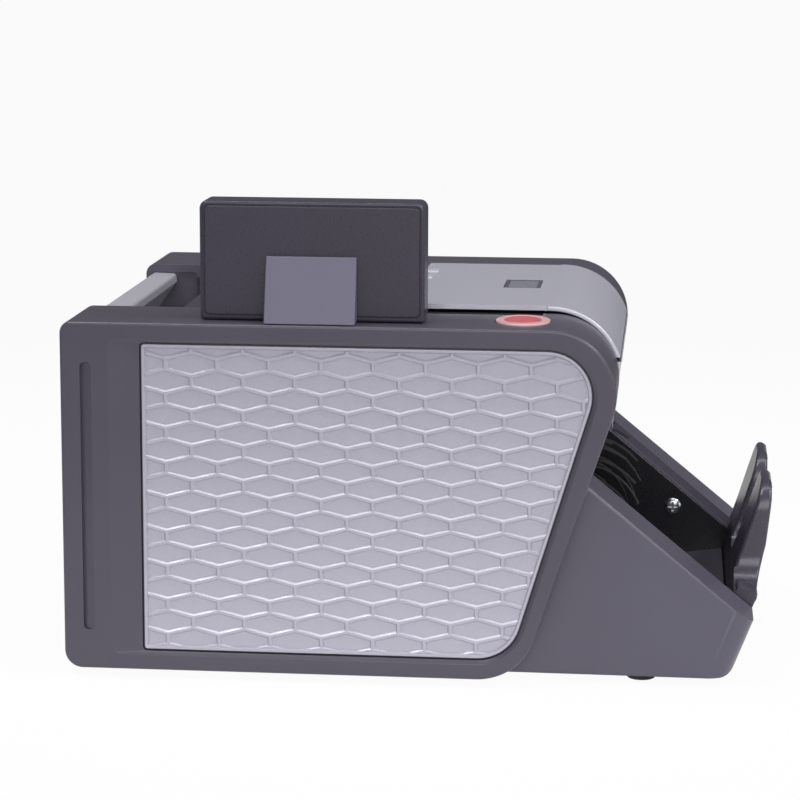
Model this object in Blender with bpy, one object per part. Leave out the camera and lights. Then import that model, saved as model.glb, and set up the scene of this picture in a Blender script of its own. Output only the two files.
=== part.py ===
"""Banknote counter for a shop counter.

Two hollow side covers carry the machine between them. Notes go into the sloping hopper at the
top, rollers feed them one at a time past a sensor, and two bladed wheels stack them against
the fingers at the front. Lengths are metres. +Z is up, -Y is the front and -X is the operator's left.
Places are given as a distance ahead of the side covers' rear face and a height above their
underside.
"""

import math

import bmesh
import bpy
from mathutils import Vector

# Whole machine
body_width = 0.280
body_height = 0.175
overall_length = 0.352
module_width = 0.056
foot_height = 0.004
gap = 0.0003
overrun = 0.004
arc_steps = 6

# Side cover
cover_wall = 0.0025
cover_face = 0.0060
cover_foot_reach = 0.2276
cover_lean = math.radians(18.2)
cover_rear_top_radius = 0.006
cover_rear_bottom_radius = 0.009
cover_front_top_radius = 0.0325
cover_front_bottom_radius = 0.030
cover_edge_radius = 0.0014
opening_rear = 0.029
opening_margin = 0.0045
groove_start = 0.010
groove_width = 0.005
groove_bottom = 0.020
groove_drop = 0.020
groove_depth = 0.0010
seam_start = 0.1665
seam_width = 0.008
seam_depth = 0.0012
seam_end_setback = 0.0490

# Sunk field and inlay panel
field_depth = 0.0020
field_rear = 0.0235
field_margin = 0.0030
inlay_thickness = 0.0020
inlay_rear = 0.0403
inlay_bottom = 0.0105
inlay_drop = 0.0108
inlay_foot_reach = 0.2190
inlay_lean = math.radians(16.8)
inlay_rear_radius = 0.0015
inlay_front_radius = 0.022
inlay_border = 0.0020
inlay_sink = 0.0006

# Plates, panels and bar between the side covers
plate_thickness = 0.0018
rear_panel_setback = 0.0055
rear_panel_thickness = 0.0025
rear_panel_drop = 0.057
base_thickness = 0.0025
base_rear = 0.008
bar_rear = 0.0032
bar_front = 0.0175
bar_drop = 0.005
bar_tall = 0.020
bar_radius = 0.0035

# Front cover
front_wall = 0.0025
front_rise = 0.0034
front_rear_edge = 0.1630
front_setback = 0.0101
front_radius = 0.037
front_drop = 0.059
roll_drop = 0.0242
panel_setback = 0.0055
board_ledge_drop = 0.0305
board_ledge_thickness = 0.002
board_ledge_reach = 0.0105
window_length = 0.019
window_width = 0.032
window_setback = 0.0555

# Keys and the board behind them
key_count = 5
key_width = 0.018
key_height = 0.009
key_pitch = 0.025
key_row_drop = 0.044
key_stand = 0.0014
key_flange = 0.0012
key_flange_thickness = 0.0014
key_travel = 0.0012
board_thickness = 0.0016
board_tall = 0.0237
board_side_clearance = 0.014

# Hopper
hopper_wall = 0.0022
hopper_rear = 0.046
hopper_drop = 0.005
hopper_slope = math.radians(40.0)
hopper_run = 0.102
slot_clearance = 0.0015
shelf_length = 0.024
front_guide_thickness = 0.0025
guide_thickness = 0.003
guide_start = 0.022
guide_run = 0.060
guide_height = 0.024
guide_radius = 0.006
knob_radius = 0.009
knob_height = 0.0065
knob_screw_radius = 0.0025
knob_screw_length = 0.022
knob_groove = 0.0008
knob_grips = 12

# Shafts and rollers
shaft_radius = 0.004
pickup_tyre_radius = 0.013
pickup_along = 0.085
pickup_stand = 0.0012
feed_tyre_radius = 0.019
feed_along = 0.118
feed_stand = 0.002
tyre_width = 0.013
tyre_centre = 0.022
retard_thickness = 0.007
retard_half_width = 0.036
retard_low = math.radians(24.0)
retard_high = math.radians(56.0)
retard_seat = math.radians(45.0)
stacker_shaft_setback = 0.0133
wheel_floor_gap = 0.019
wheel_headroom = 0.062
wheel_hub_radius = 0.012
wheel_width = 0.014
wheel_centre = 0.030
blade_count = 10
blade_thickness = 0.0016
blade_sweep = math.radians(48.0)
blade_steps = 5

# Drive
motor_ahead = 0.070
motor_height = 0.045
motor_radius = 0.021
motor_length = 0.046
motor_boss_radius = 0.008
motor_boss_length = 0.0035
motor_shaft_radius = 0.003
motor_pulley_radius = 0.009
feed_pulley_radius = 0.0150
second_pulley_radius = 0.0055
wheel_pulley_radius = 0.0075
pickup_pulley_radius = 0.008
belt_width = 0.005
belt_thickness = 0.0015
flange_height = 0.0015
flange_thickness = 0.0012
first_belt_depth = 0.0465
second_belt_depth = 0.0370
pickup_belt_depth = 0.0440

# Chute and sensor
chute_thickness = 0.002
chute_top_reach = 0.025
chute_top_drop = 0.005
chute_knee_reach = 0.0345
chute_knee_drop = 0.025
chute_foot_clearance = 0.0075
chute_foot_turn = math.radians(214.2)
sensor_depth = 0.008
sensor_length = 0.014
sensor_clearance = 0.0006

# Stacker
stacker_inset = 0.0155
pocket_wall_inset = 0.053
side_wall = 0.0030
side_tail = 0.216
side_foot_setback = 0.021
side_nose_setback = 0.0103
side_nose_height = 0.0276
side_slope = math.atan(0.8215)
side_corner_radius = 0.012
bed_thickness = 0.002
bed_rear = 0.232
bed_rise = 0.0125
stop_wall = 0.0045
stop_shoulder_height = 0.0336
stop_rear_height = 0.038
stop_shoulder_setback = 0.0077
stop_rear_setback = 0.018
finger_width = 0.047
finger_spacing = 0.075
finger_top_height = 0.087
finger_top_thickness = 0.0072
finger_corner_radius = 0.017
finger_edge_radius = 0.003
screw_place_share = 0.71
screw_height = 0.0411
screw_head_radius = 0.0048
screw_head_height = 0.0022
screw_shank_radius = 0.002
screw_shank_length = 0.007
screw_slot_depth = 0.0010
screw_slot_width = 0.0012

# Feet
foot_radius = 0.0075
foot_inset = 0.030
front_foot_setback = 0.0443
rear_foot_ahead = 0.030

# Customer display
display_inset = 0.012
display_thickness = 0.020
display_rear = 0.068
display_length = 0.1105
display_height = 0.0585
display_clearance = 0.0005
display_corner_radius = 0.004
display_edge_radius = 0.0015
display_rim = 0.006
display_chin = 0.010
display_pocket = 0.011
screen_thickness = 0.002
screen_sink = 0.0004
bracket_rear = 0.101
bracket_length = 0.0445
bracket_height = 0.032
ear_thickness = 0.005
ear_setback = 0.004
pin_radius = 0.002
notch_clearance = 0.0006

# Badge
badge_setback = 0.0594
badge_inset = 0.0275
badge_half_length = 0.0135
badge_half_width = 0.0165
badge_thickness = 0.0016
badge_sink = 0.0010

# Mains inlet and switch
inlet_setback = 0.039
inlet_height = 0.028
inlet_width = 0.028
inlet_tall = 0.022
inlet_rim = 0.003
inlet_wall = 0.0025
inlet_depth = 0.022
inlet_floor = 0.003
inlet_pin_width = 0.002
inlet_pin_tall = 0.004
inlet_pin_length = 0.010
inlet_pin_spacing = 0.007
switch_pitch = 0.033
switch_width = 0.012
switch_tall = 0.018
switch_depth = 0.007
switch_tilt = math.radians(12.0)
switch_play = 0.0010
switch_crown = 0.0010
switch_pivot_depth = 0.0015
well_wall = 0.0015
well_depth = 0.009

# Boards in the right side cover
main_board_rear = 0.150
main_board_length = 0.075
main_board_drop = 0.090
main_board_height = 0.070
main_board_depth = 0.0485
chip_length = 0.012
chip_height = 0.0025
transformer_rear = 0.026
transformer_length = 0.050
transformer_height = 0.046
transformer_width = 0.036
core_length = 0.026
core_stand = 0.006

# Sides of the machine seen from its middle
left = -1
right = 1

# Places worked out from the sizes
rear_y = overall_length / 2
half_width = body_width / 2
well_half = half_width - module_width
span_half = well_half - gap
board_half_width = well_half - board_side_clearance
inlet_offset = well_half - inlet_setback
switch_offset = inlet_offset - switch_pitch
body_floor = foot_height
plate_inner_depth = module_width
plate_outer_depth = module_width - plate_thickness
pocket_half = half_width - pocket_wall_inset
hopper_along = Vector((math.cos(hopper_slope), -math.sin(hopper_slope)))
hopper_normal = Vector((math.sin(hopper_slope), math.cos(hopper_slope)))
cover_top_reach = cover_foot_reach + body_height * math.tan(cover_lean)
groove_top = body_height - groove_drop
inlay_top = body_height - inlay_drop
rear_panel_height = body_height - rear_panel_drop
bar_top = body_height - bar_drop
bar_bottom = bar_top - bar_tall
front_reach = cover_top_reach - front_setback
front_bottom = body_height - front_drop
roll_end_height = body_height - roll_drop
panel_front = front_reach - panel_setback
board_ledge_height = body_height - board_ledge_drop
key_row_height = body_height - key_row_drop
window_centre = front_reach - window_setback
hopper_top = body_height - hopper_drop
shelf_height = body_height
wheel_radius = (body_height - wheel_floor_gap - wheel_headroom) / 2
side_foot_reach = overall_length - side_foot_setback
side_nose_reach = overall_length - side_nose_setback
front_foot_ahead = side_foot_reach - front_foot_setback
badge_ahead = cover_top_reach - badge_setback
main_board_bottom = body_height - main_board_drop


def ahead(distance):
    """World Y of a place this far ahead of the side covers' rear face."""
    return rear_y - distance


def above(height):
    """World Z of a place this far above the side covers' underside."""
    return body_floor + height


def across(side, depth):
    """World X of a place this far in from one side cover's outer face."""
    return side * (half_width - depth)


def at(x, distance, height):
    return Vector((x, ahead(distance), above(height)))


def hopper_place(along, off):
    """Distance ahead and height of a point on the hopper plate, and off its upper face."""
    point = Vector((hopper_rear, hopper_top)) + hopper_along * along + hopper_normal * off
    return point.x, point.y


stop_foot_rear = side_foot_reach - stop_wall
knob_ahead = front_rear_edge - shelf_length / 2
pickup_axis = hopper_place(pickup_along, pickup_stand - pickup_tyre_radius)
feed_axis = hopper_place(feed_along, feed_stand - feed_tyre_radius)
stacker_axis_height = wheel_floor_gap + wheel_radius
pocket_rear_at_screw = cover_foot_reach + screw_height * math.tan(cover_lean)
pocket_front_at_screw = side_nose_reach - (screw_height - side_nose_height) / math.tan(side_slope)
screw_ahead = (pocket_rear_at_screw
               + (pocket_front_at_screw - pocket_rear_at_screw) * screw_place_share)
stacker_axis = (cover_foot_reach + stacker_axis_height * math.tan(cover_lean) - stacker_shaft_setback,
                stacker_axis_height)
motor_axis = (motor_ahead, motor_height)


def clear_scene():
    for old in list(bpy.data.objects):
        bpy.data.objects.remove(old, do_unlink=True)


def linear(share):
    """One sRGB channel as linear light."""
    low_limit_share, low_slope = 0.04045, 12.92
    if share <= low_limit_share:
        return share / low_slope
    return ((share + 0.055) / 1.055) ** 2.4


def paint(name, hex_colour, roughness, metallic=0.0):
    material = bpy.data.materials.new(name)
    material.use_nodes = True
    shader = material.node_tree.nodes["Principled BSDF"]
    channels = [int(hex_colour[i : i + 2], 16) / 255 for i in (0, 2, 4)]
    shader.inputs["Base Color"].default_value = [linear(c) for c in channels] + [1.0]
    shader.inputs["Roughness"].default_value = roughness
    shader.inputs["Metallic"].default_value = metallic
    return material


def make_object(name, shape, material, pivot=None, smooth_angle=math.radians(35.0)):
    """Turn a bmesh in world places into an object, with its origin on the pivot."""
    centre = Vector(pivot) if pivot is not None else Vector()
    bmesh.ops.remove_doubles(shape, verts=shape.verts, dist=gap / 100)
    bmesh.ops.recalc_face_normals(shape, faces=shape.faces)
    bmesh.ops.translate(shape, verts=shape.verts, vec=-centre)
    mesh = bpy.data.meshes.new(name)
    shape.to_mesh(mesh)
    shape.free()
    mesh.shade_smooth()
    mesh.set_sharp_from_angle(angle=smooth_angle)
    made = bpy.data.objects.new(name, mesh)
    made.location = centre
    if material is not None:
        mesh.materials.append(material)
    bpy.context.scene.collection.objects.link(made)
    return made


def boolean(target, shape, operation):
    """Cut a shape out of the target, join it on, or keep only what they share."""
    helper = shape
    if isinstance(shape, bmesh.types.BMesh):
        helper = make_object(f"{target.name}_tool_{len(target.modifiers)}", shape, None)
    helper.hide_render = True
    helper.display_type = "WIRE"
    modifier = target.modifiers.new(helper.name, "BOOLEAN")
    modifier.operation = operation
    modifier.solver = "EXACT"
    modifier.object = helper
    return target


def cut(target, shape):
    return boolean(target, shape, "DIFFERENCE")


def join(target, shape):
    return boolean(target, shape, "UNION")


def keep_common(target, shape):
    return boolean(target, shape, "INTERSECT")


def soften(target, width, segments=2, angle=math.radians(30.0)):
    """Round the sharp edges of the shape as it is before any cut."""
    modifier = target.modifiers.new("rounded edges", "BEVEL")
    modifier.width = width
    modifier.segments = segments
    modifier.limit_method = "ANGLE"
    modifier.angle_limit = angle
    modifier.harden_normals = False
    return target


def loft(loops, closed_ends=True):
    """Skin a row of loops that have the same number of points."""
    shape = bmesh.new()
    rings = []
    for loop in loops:
        verts = [shape.verts.new(point) for point in loop]
        edges = [shape.edges.new((a, b)) for a, b in zip(verts, verts[1:] + verts[:1])]
        rings.append((verts, edges))
    for (low, _), (high, _) in zip(rings, rings[1:]):
        count = len(low)
        for i in range(count):
            shape.faces.new((low[i], low[(i + 1) % count], high[(i + 1) % count], high[i]))
    if closed_ends:
        shape.faces.new(list(reversed(rings[0][0])))
        shape.faces.new(rings[-1][0])
    return shape


def prism(outline, x_from, x_to):
    """An outline of (distance ahead, height) points, drawn out across the machine."""
    return loft([[at(x, d, h) for d, h in outline] for x in (x_from, x_to)])


def block(x_from, x_to, ahead_from, ahead_to, low, high):
    outline = [(ahead_from, low), (ahead_to, low), (ahead_to, high), (ahead_from, high)]
    return prism(outline, x_from, x_to)


def rounded(corners, radii, steps=arc_steps):
    """A closed outline with each corner replaced by an arc of its radius."""
    points = []
    count = len(corners)
    for i, corner in enumerate(corners):
        here = Vector(corner)
        before = (Vector(corners[i - 1]) - here).normalized()
        after = (Vector(corners[(i + 1) % count]) - here).normalized()
        radius = radii[i]
        if radius == 0:
            points.append((here.x, here.y))
            continue
        half = before.angle(after) / 2
        centre = here + (before + after).normalized() * radius / math.sin(half)
        start = here + before * radius / math.tan(half) - centre
        end = here + after * radius / math.tan(half) - centre
        turn = start.angle_signed(end)
        for k in range(steps + 1):
            angle = -turn * k / steps
            spoke = Vector((start.x * math.cos(angle) - start.y * math.sin(angle),
                            start.x * math.sin(angle) + start.y * math.cos(angle)))
            points.append((centre.x + spoke.x, centre.y + spoke.y))
    return points


def circle(centre, radius, steps):
    turn = 2 * math.pi / steps
    return [(centre[0] + radius * math.cos(k * turn), centre[1] + radius * math.sin(k * turn))
            for k in range(steps)]


def round_bar(axis, radius, x_from, x_to, steps=24):
    """A cylinder across the machine."""
    return prism(circle(axis, radius, steps), x_from, x_to)


def turned(axis, profile, steps=24):
    """A body turned about an axis across the machine, from (x, radius) points."""
    return loft([[at(x, *p) for p in circle(axis, radius, steps)] for x, radius in profile])


def upright_bar(x, distance, radius, low, high, steps=24):
    """A cylinder that stands upright."""
    ring = circle((x, distance), radius, steps)
    return loft([[at(px, pd, h) for px, pd in ring] for h in (low, high)])


def ribbon(path, thickness):
    """A strip's outline: the path, and the same path moved to its right by the thickness."""
    points = [Vector(p) for p in path]
    offset = []
    for i, here in enumerate(points):
        normals = []
        for a, b in ((i - 1, i), (i, i + 1)):
            if a >= 0 and b < len(points):
                way = (points[b] - points[a]).normalized()
                normals.append(Vector((way.y, -way.x)))
        middle = sum(normals, Vector((0, 0))).normalized()
        offset.append(here + middle * thickness / middle.dot(normals[0]))
    return [(p.x, p.y) for p in points] + [(p.x, p.y) for p in reversed(offset)]


def cover_outline(inset=0.0, rear=None):
    """The side cover's outline, moved in by an inset."""
    shift = inset / math.cos(cover_lean)
    low, high = inset, body_height - inset
    back = inset if rear is None else rear
    reach = cover_foot_reach - shift
    corners = [(back, low), (reach + low * math.tan(cover_lean), low),
               (reach + high * math.tan(cover_lean), high), (back, high)]
    radii = [max(r - inset, gap) for r in (cover_rear_bottom_radius, cover_front_bottom_radius,
                                           cover_front_top_radius, cover_rear_top_radius)]
    return rounded(corners, radii)


def inlay_outline(grow=0.0, rear=None):
    """The inlay's outline, moved out by a margin."""
    shift = grow / math.cos(inlay_lean)
    low, high = inlay_bottom - grow, inlay_top + grow
    back = inlay_rear - grow if rear is None else rear
    reach = inlay_foot_reach + shift
    corners = [(back, low), (reach + low * math.tan(inlay_lean), low),
               (reach + high * math.tan(inlay_lean), high), (back, high)]
    radii = [inlay_rear_radius, inlay_front_radius + grow, inlay_front_radius + grow,
             inlay_rear_radius]
    return rounded(corners, radii)


def opening_outline(inset=0.0):
    """The hole in a side cover's inner flange."""
    return cover_outline(cover_wall + opening_margin + inset, rear=opening_rear + inset)


def make_side_cover(side, name, material):
    """A hollow moulding: outer face, rim all round and a narrow flange at the inner side."""
    shape = prism(cover_outline(), across(side, 0), across(side, module_width))
    cover = make_object(name, shape, material)
    soften(cover, cover_edge_radius)
    cut(cover, prism(cover_outline(cover_wall), across(side, cover_face),
                     across(side, module_width - cover_wall)))
    cut(cover, prism(opening_outline(), across(side, module_width - cover_wall - overrun),
                     across(side, module_width + overrun)))
    face = inlay_outline(field_margin, rear=field_rear)
    seat = inlay_outline(gap)
    floor_depth = field_depth + inlay_thickness + gap
    loops = [(face, -overrun), (face, 0), (seat, field_depth), (seat, floor_depth)]
    cut(cover, loft([[at(across(side, depth), *p) for p in line] for line, depth in loops]))
    corners = [(groove_start, groove_bottom), (groove_start + groove_width, groove_bottom),
               (groove_start + groove_width, groove_top), (groove_start, groove_top)]
    groove = rounded(corners, [groove_depth, groove_depth, groove_width / 2.1, groove_width / 2.1])
    cut(cover, prism(groove, across(side, -overrun), across(side, groove_depth)))
    cut(cover, block(across(side, module_width - seam_width), across(side, module_width + overrun),
                     seam_start, cover_top_reach - seam_end_setback, body_height - seam_depth,
                     body_height + overrun))
    return cover


def make_inlay(side, name, material):
    """A thin panel with a low border, seated in the sunk field."""
    top = field_depth
    panel = make_object(name, prism(inlay_outline(), across(side, top),
                                    across(side, top + inlay_thickness)), material)
    cut(panel, prism(inlay_outline(-inlay_border), across(side, top - overrun),
                     across(side, top + inlay_sink)))
    return panel


def make_bearing_plate(side, name, material):
    """The steel plate that closes a side cover and holds the shafts."""
    plate = make_object(name, prism(opening_outline(gap), across(side, plate_outer_depth),
                                    across(side, plate_inner_depth)), material)
    holes = [(pickup_axis, shaft_radius), (feed_axis, shaft_radius), (stacker_axis, shaft_radius)]
    if side == left:
        holes.append((motor_axis, motor_shaft_radius))
    for axis, radius in holes:
        cut(plate, round_bar(axis, radius + gap, across(side, plate_outer_depth - overrun),
                             across(side, plate_inner_depth + overrun)))
    return plate


def make_base_plate(material):
    outline = [(base_rear, 0), (stop_foot_rear - gap, 0), (stop_foot_rear - gap, base_thickness),
               (base_rear, base_thickness)]
    return make_object("base_plate", prism(outline, -span_half, span_half), material)


def make_rear_panel(material):
    """An upright panel that turns forward under the carrying bar to meet the hopper."""
    inner = rear_panel_setback + rear_panel_thickness
    path = [(rear_panel_setback, base_thickness + gap), (rear_panel_setback, rear_panel_height),
            (hopper_rear - gap, rear_panel_height)]
    outline = ribbon(path, rear_panel_thickness)
    panel = make_object("rear_panel", prism(outline, -span_half, span_half), material)
    for offset, width, tall in ((inlet_offset, inlet_width, inlet_tall),
                                (switch_offset, switch_width + 2 * well_wall,
                                 switch_tall + 2 * well_wall)):
        half, centre = width / 2, inlet_height
        grow = gap if offset == inlet_offset else 0
        cut(panel, block(offset - half - grow, offset + half + grow, rear_panel_setback - overrun,
                         inner + overrun, centre - tall / 2 - grow, centre + tall / 2 + grow))
    outer_half = switch_width / 2 + 2 * well_wall
    outer_tall = switch_tall / 2 + 2 * well_wall
    join(panel, block(switch_offset - outer_half, switch_offset + outer_half,
                      rear_panel_setback + rear_panel_thickness / 2,
                      rear_panel_setback + well_depth + well_wall,
                      inlet_height - outer_tall, inlet_height + outer_tall))
    cut(panel, block(switch_offset - switch_width / 2 - gap, switch_offset + switch_width / 2 + gap,
                     rear_panel_setback - overrun, rear_panel_setback + well_depth,
                     inlet_height - switch_tall / 2 - gap, inlet_height + switch_tall / 2 + gap))
    return panel


def make_bar(material):
    """The carrying bar, with a sloping underside for the fingers."""
    corners = [(bar_rear, bar_bottom), (bar_rear, bar_top), (bar_front, bar_top),
               (bar_front, bar_top - bar_radius * 1.5)]
    outline = rounded(corners, [bar_radius / 2, bar_radius, bar_radius / 2, bar_radius])
    return make_object("handle_bar", prism(outline, -span_half, span_half), material)


def front_path():
    """The front cover's outer line: over the top, down the roll, and back to the keys' panel."""
    top = body_height + front_rise
    centre = (front_reach - front_radius, top - front_radius)
    path = [(front_rear_edge, top)]
    end = math.asin((roll_end_height - centre[1]) / front_radius)
    steps = 2 * arc_steps
    for k in range(steps + 1):
        angle = math.pi / 2 - (math.pi / 2 - end) * k / steps
        path.append((centre[0] + front_radius * math.cos(angle),
                     centre[1] + front_radius * math.sin(angle)))
    return path + [(panel_front, roll_end_height), (panel_front, front_bottom)]


def key_seat():
    """Distance ahead of the plane that the keys' flanges rest against, inside the panel."""
    return panel_front - front_wall - gap


def key_places():
    middle = (key_count - 1) / 2
    return [(i - middle) * key_pitch for i in range(key_count)]


def make_front_cover(material):
    """The silver cover, with a ledge inside that the control board hangs from."""
    cover = make_object("front_cover", prism(ribbon(front_path(), front_wall), -span_half, span_half),
                        material)
    inner = panel_front - front_wall
    join(cover, block(-board_half_width, board_half_width, inner - board_ledge_reach,
                      inner + front_wall / 2, board_ledge_height,
                      board_ledge_height + board_ledge_thickness))
    for x in key_places():
        cut(cover, block(x - key_width / 2 - gap, x + key_width / 2 + gap, key_seat() - gap,
                         front_reach + overrun, key_row_height - key_height / 2 - gap,
                         key_row_height + key_height / 2 + gap))
    top = body_height + front_rise
    cut(cover, block(-window_width / 2 - gap, window_width / 2 + gap,
                     window_centre - window_length / 2 - gap, window_centre + window_length / 2 + gap,
                     top - front_wall - overrun, top + overrun))
    return cover


def make_window(material):
    top = body_height + front_rise
    return make_object("count_window", block(-window_width / 2, window_width / 2,
                                             window_centre - window_length / 2,
                                             window_centre + window_length / 2,
                                             top - front_wall, top - gap), material)


def make_keys(material):
    """Caps in the front cover's holes, each with a wider flange behind the wall."""
    seat, face = key_seat(), panel_front + key_stand
    half_x, half_z, edge = key_width / 2, key_height / 2, key_flange / 2
    wide_x, wide_z = half_x + key_flange, half_z + key_flange
    rings = [(seat - key_flange_thickness, wide_x, wide_z), (seat, wide_x, wide_z),
             (seat, half_x, half_z), (face - edge, half_x, half_z),
             (face, half_x - edge, half_z - edge)]
    for number, x in enumerate(key_places(), 1):
        loops = [[at(x + sx * hx, ahead, key_row_height + sz * hz)
                  for sx, sz in ((-1, -1), (1, -1), (1, 1), (-1, 1))]
                 for ahead, hx, hz in rings]
        make_object(f"key_{number}", loft(loops), material, pivot=at(x, seat, key_row_height))


def make_control_board(material):
    """The keys press on the switches of this board."""
    front = key_seat() - key_flange_thickness - key_travel - 2 * gap
    top = board_ledge_height - gap
    return make_object("control_board", block(-board_half_width, board_half_width,
                                              front - board_thickness, front, top - board_tall, top),
                       material)


def tyre_places():
    return (-tyre_centre, tyre_centre)


def make_hopper_plate(material):
    """The sloping note bed with an upright back, slotted for the pickup tyres."""
    foot = hopper_place(hopper_run, 0)
    path = [(hopper_rear, rear_panel_height - rear_panel_thickness), (hopper_rear, hopper_top), foot]
    outline = ribbon(path, hopper_wall)
    plate = make_object("hopper_plate", prism(outline, -span_half, span_half), material)
    reach = pickup_tyre_radius + slot_clearance
    for x in tyre_places():
        half = tyre_width / 2 + slot_clearance
        cut(plate, round_bar(pickup_axis, reach, x - half, x + half))
    return plate


def make_front_guide(material):
    """The hopper's front wall, with a shelf at its top for the gap knob."""
    rear = front_rear_edge - shelf_length
    reach = feed_tyre_radius + retard_thickness + gap
    foot = (feed_axis[0] + reach * math.cos(retard_seat), feed_axis[1] + reach * math.sin(retard_seat))
    path = [(front_rear_edge - gap, shelf_height), (rear, shelf_height), foot]
    outline = ribbon(path, -front_guide_thickness)
    guide = make_object("front_guide", prism(outline, -span_half, span_half), material)
    cut(guide, upright_bar(0, knob_ahead, knob_screw_radius + gap,
                           shelf_height - 2 * front_guide_thickness, shelf_height + overrun))
    return guide


def make_retard_block(material):
    """A rubber block whose hollow face follows the feed tyres."""
    inner, outer = feed_tyre_radius + 2 * gap, feed_tyre_radius + retard_thickness
    arc = []
    for k in range(arc_steps + 1):
        arc.append(retard_low + (retard_high - retard_low) * k / arc_steps)
    outline = [(feed_axis[0] + inner * math.cos(a), feed_axis[1] + inner * math.sin(a)) for a in arc]
    outline += [(feed_axis[0] + outer * math.cos(a), feed_axis[1] + outer * math.sin(a))
                for a in reversed(arc)]
    return make_object("retard_block", prism(outline, -retard_half_width, retard_half_width),
                       material)


def make_note_guide(side, name, material):
    """A guide that stands on the hopper plate and slides sideways to suit the notes."""
    start, end = guide_start, guide_start + guide_run
    corners = [hopper_place(start, gap), hopper_place(end, gap), hopper_place(end, guide_height),
               hopper_place(start + guide_height / 2, guide_height)]
    outline = rounded(corners, [0, 0, guide_radius, guide_radius], steps=3)
    outer = side * (span_half - gap)
    pivot = at(outer, *hopper_place((start + end) / 2, guide_height / 2))
    return make_object(name, prism(outline, outer, outer - side * guide_thickness), material,
                       pivot=pivot)


def make_knob(material):
    """The feed gap knob: a grooved disc on a screw."""
    low = shelf_height + gap
    steps = 4 * knob_grips
    ring = []
    for k in range(steps):
        angle = 2 * math.pi * k / steps
        radius = knob_radius - (knob_groove if k % 4 == 0 else 0)
        ring.append((radius * math.cos(angle), knob_ahead + radius * math.sin(angle)))
    knob = make_object("gap_knob", loft([[at(x, d, h) for x, d in ring]
                                         for h in (low, low + knob_height)]), material,
                       pivot=at(0, knob_ahead, low))
    join(knob, upright_bar(0, knob_ahead, knob_screw_radius, low - knob_screw_length,
                           low + knob_height / 2, steps=12))
    return knob


def make_tyre(name, axis, radius, x, material):
    half, shoulder = tyre_width / 2, tyre_width / 12
    profile = [(x - half, radius - shoulder), (x - half + shoulder, radius),
               (x + half - shoulder, radius), (x + half, radius - shoulder)]
    tyre = make_object(name, turned(axis, profile, steps=32), material, pivot=at(x, *axis))
    return cut(tyre, round_bar(axis, shaft_radius + gap, x - half - overrun, x + half + overrun))


def make_roller_shaft(name, axis, x_from, x_to, material, disc_x=None):
    """A steel shaft, with a moulded belt pulley on it where a place is given."""
    profile = [(x_from, shaft_radius)]
    if disc_x is not None:
        low, high = disc_x - belt_width / 2 - gap, disc_x + belt_width / 2 + gap
        rim = pickup_pulley_radius + flange_height
        profile += [(low - flange_thickness, shaft_radius), (low - flange_thickness, rim),
                    (low, rim), (low, pickup_pulley_radius), (high, pickup_pulley_radius),
                    (high, rim), (high + flange_thickness, rim),
                    (high + flange_thickness, shaft_radius)]
    profile.append((x_to, shaft_radius))
    return make_object(name, turned(axis, profile), material, pivot=at(0, *axis))


def make_pulley(name, axis, grooves, bore, material):
    """A flanged pulley in the left side cover, with a groove of each radius at each depth."""
    half = belt_width / 2 + gap
    profile = []
    for depth, radius in grooves:
        x = across(left, depth)
        rim = radius + flange_height
        profile += [(x + half + flange_thickness, rim), (x + half, rim), (x + half, radius),
                    (x - half, radius), (x - half, rim), (x - half - flange_thickness, rim)]
    pulley = make_object(name, turned(axis, profile, steps=32), material,
                         pivot=at(across(left, grooves[0][0]), *axis))
    return cut(pulley, round_bar(axis, bore, profile[-1][0] - overrun, profile[0][0] + overrun))


def belt_line(first, first_radius, second, second_radius, steps=10):
    """The line of a belt round two pulleys."""
    start, end = Vector(first), Vector(second)
    way = end - start
    heading = math.atan2(way.y, way.x)
    lean = math.acos((first_radius - second_radius) / way.length)
    line = []
    for centre, radius, low, high in ((end, second_radius, -lean, lean),
                                      (start, first_radius, lean, 2 * math.pi - lean)):
        for k in range(steps + 1):
            angle = heading + low + (high - low) * k / steps
            line.append((centre.x + radius * math.cos(angle), centre.y + radius * math.sin(angle)))
    return line


def make_belt(name, first, first_radius, second, second_radius, x, material):
    """A flat belt that runs just clear of its pulleys."""
    loops = []
    for x_at, grow in ((x - belt_width / 2, gap), (x + belt_width / 2, gap),
                       (x + belt_width / 2, gap + belt_thickness),
                       (x - belt_width / 2, gap + belt_thickness)):
        line = belt_line(first, first_radius + grow, second, second_radius + grow)
        loops.append([at(x_at, *p) for p in line])
    return make_object(name, loft(loops + [loops[0]], closed_ends=False), material)


def make_stacker_wheel(name, x, material):
    """A hub with thin curved rubber blades."""
    outline = []
    pitch = 2 * math.pi / blade_count
    reach = wheel_radius - wheel_hub_radius
    for blade in range(blade_count):
        for flank, order in ((1, range(blade_steps + 1)), (-1, reversed(range(blade_steps + 1)))):
            for k in order:
                share = k / blade_steps
                radius = wheel_hub_radius + reach * share
                width = blade_thickness * (1 - share / 2) / 2
                angle = blade * pitch + blade_sweep * share ** 1.4 - flank * width / radius
                angle = -angle
                outline.append((stacker_axis[0] + radius * math.cos(angle),
                                stacker_axis[1] + radius * math.sin(angle)))
        middle = -(blade + 0.5) * pitch
        outline.append((stacker_axis[0] + wheel_hub_radius * math.cos(middle),
                        stacker_axis[1] + wheel_hub_radius * math.sin(middle)))
    wheel = make_object(name, prism(outline, x - wheel_width / 2, x + wheel_width / 2), material,
                        pivot=at(x, *stacker_axis))
    return cut(wheel, round_bar(stacker_axis, shaft_radius + gap, x - wheel_width, x + wheel_width))


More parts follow.
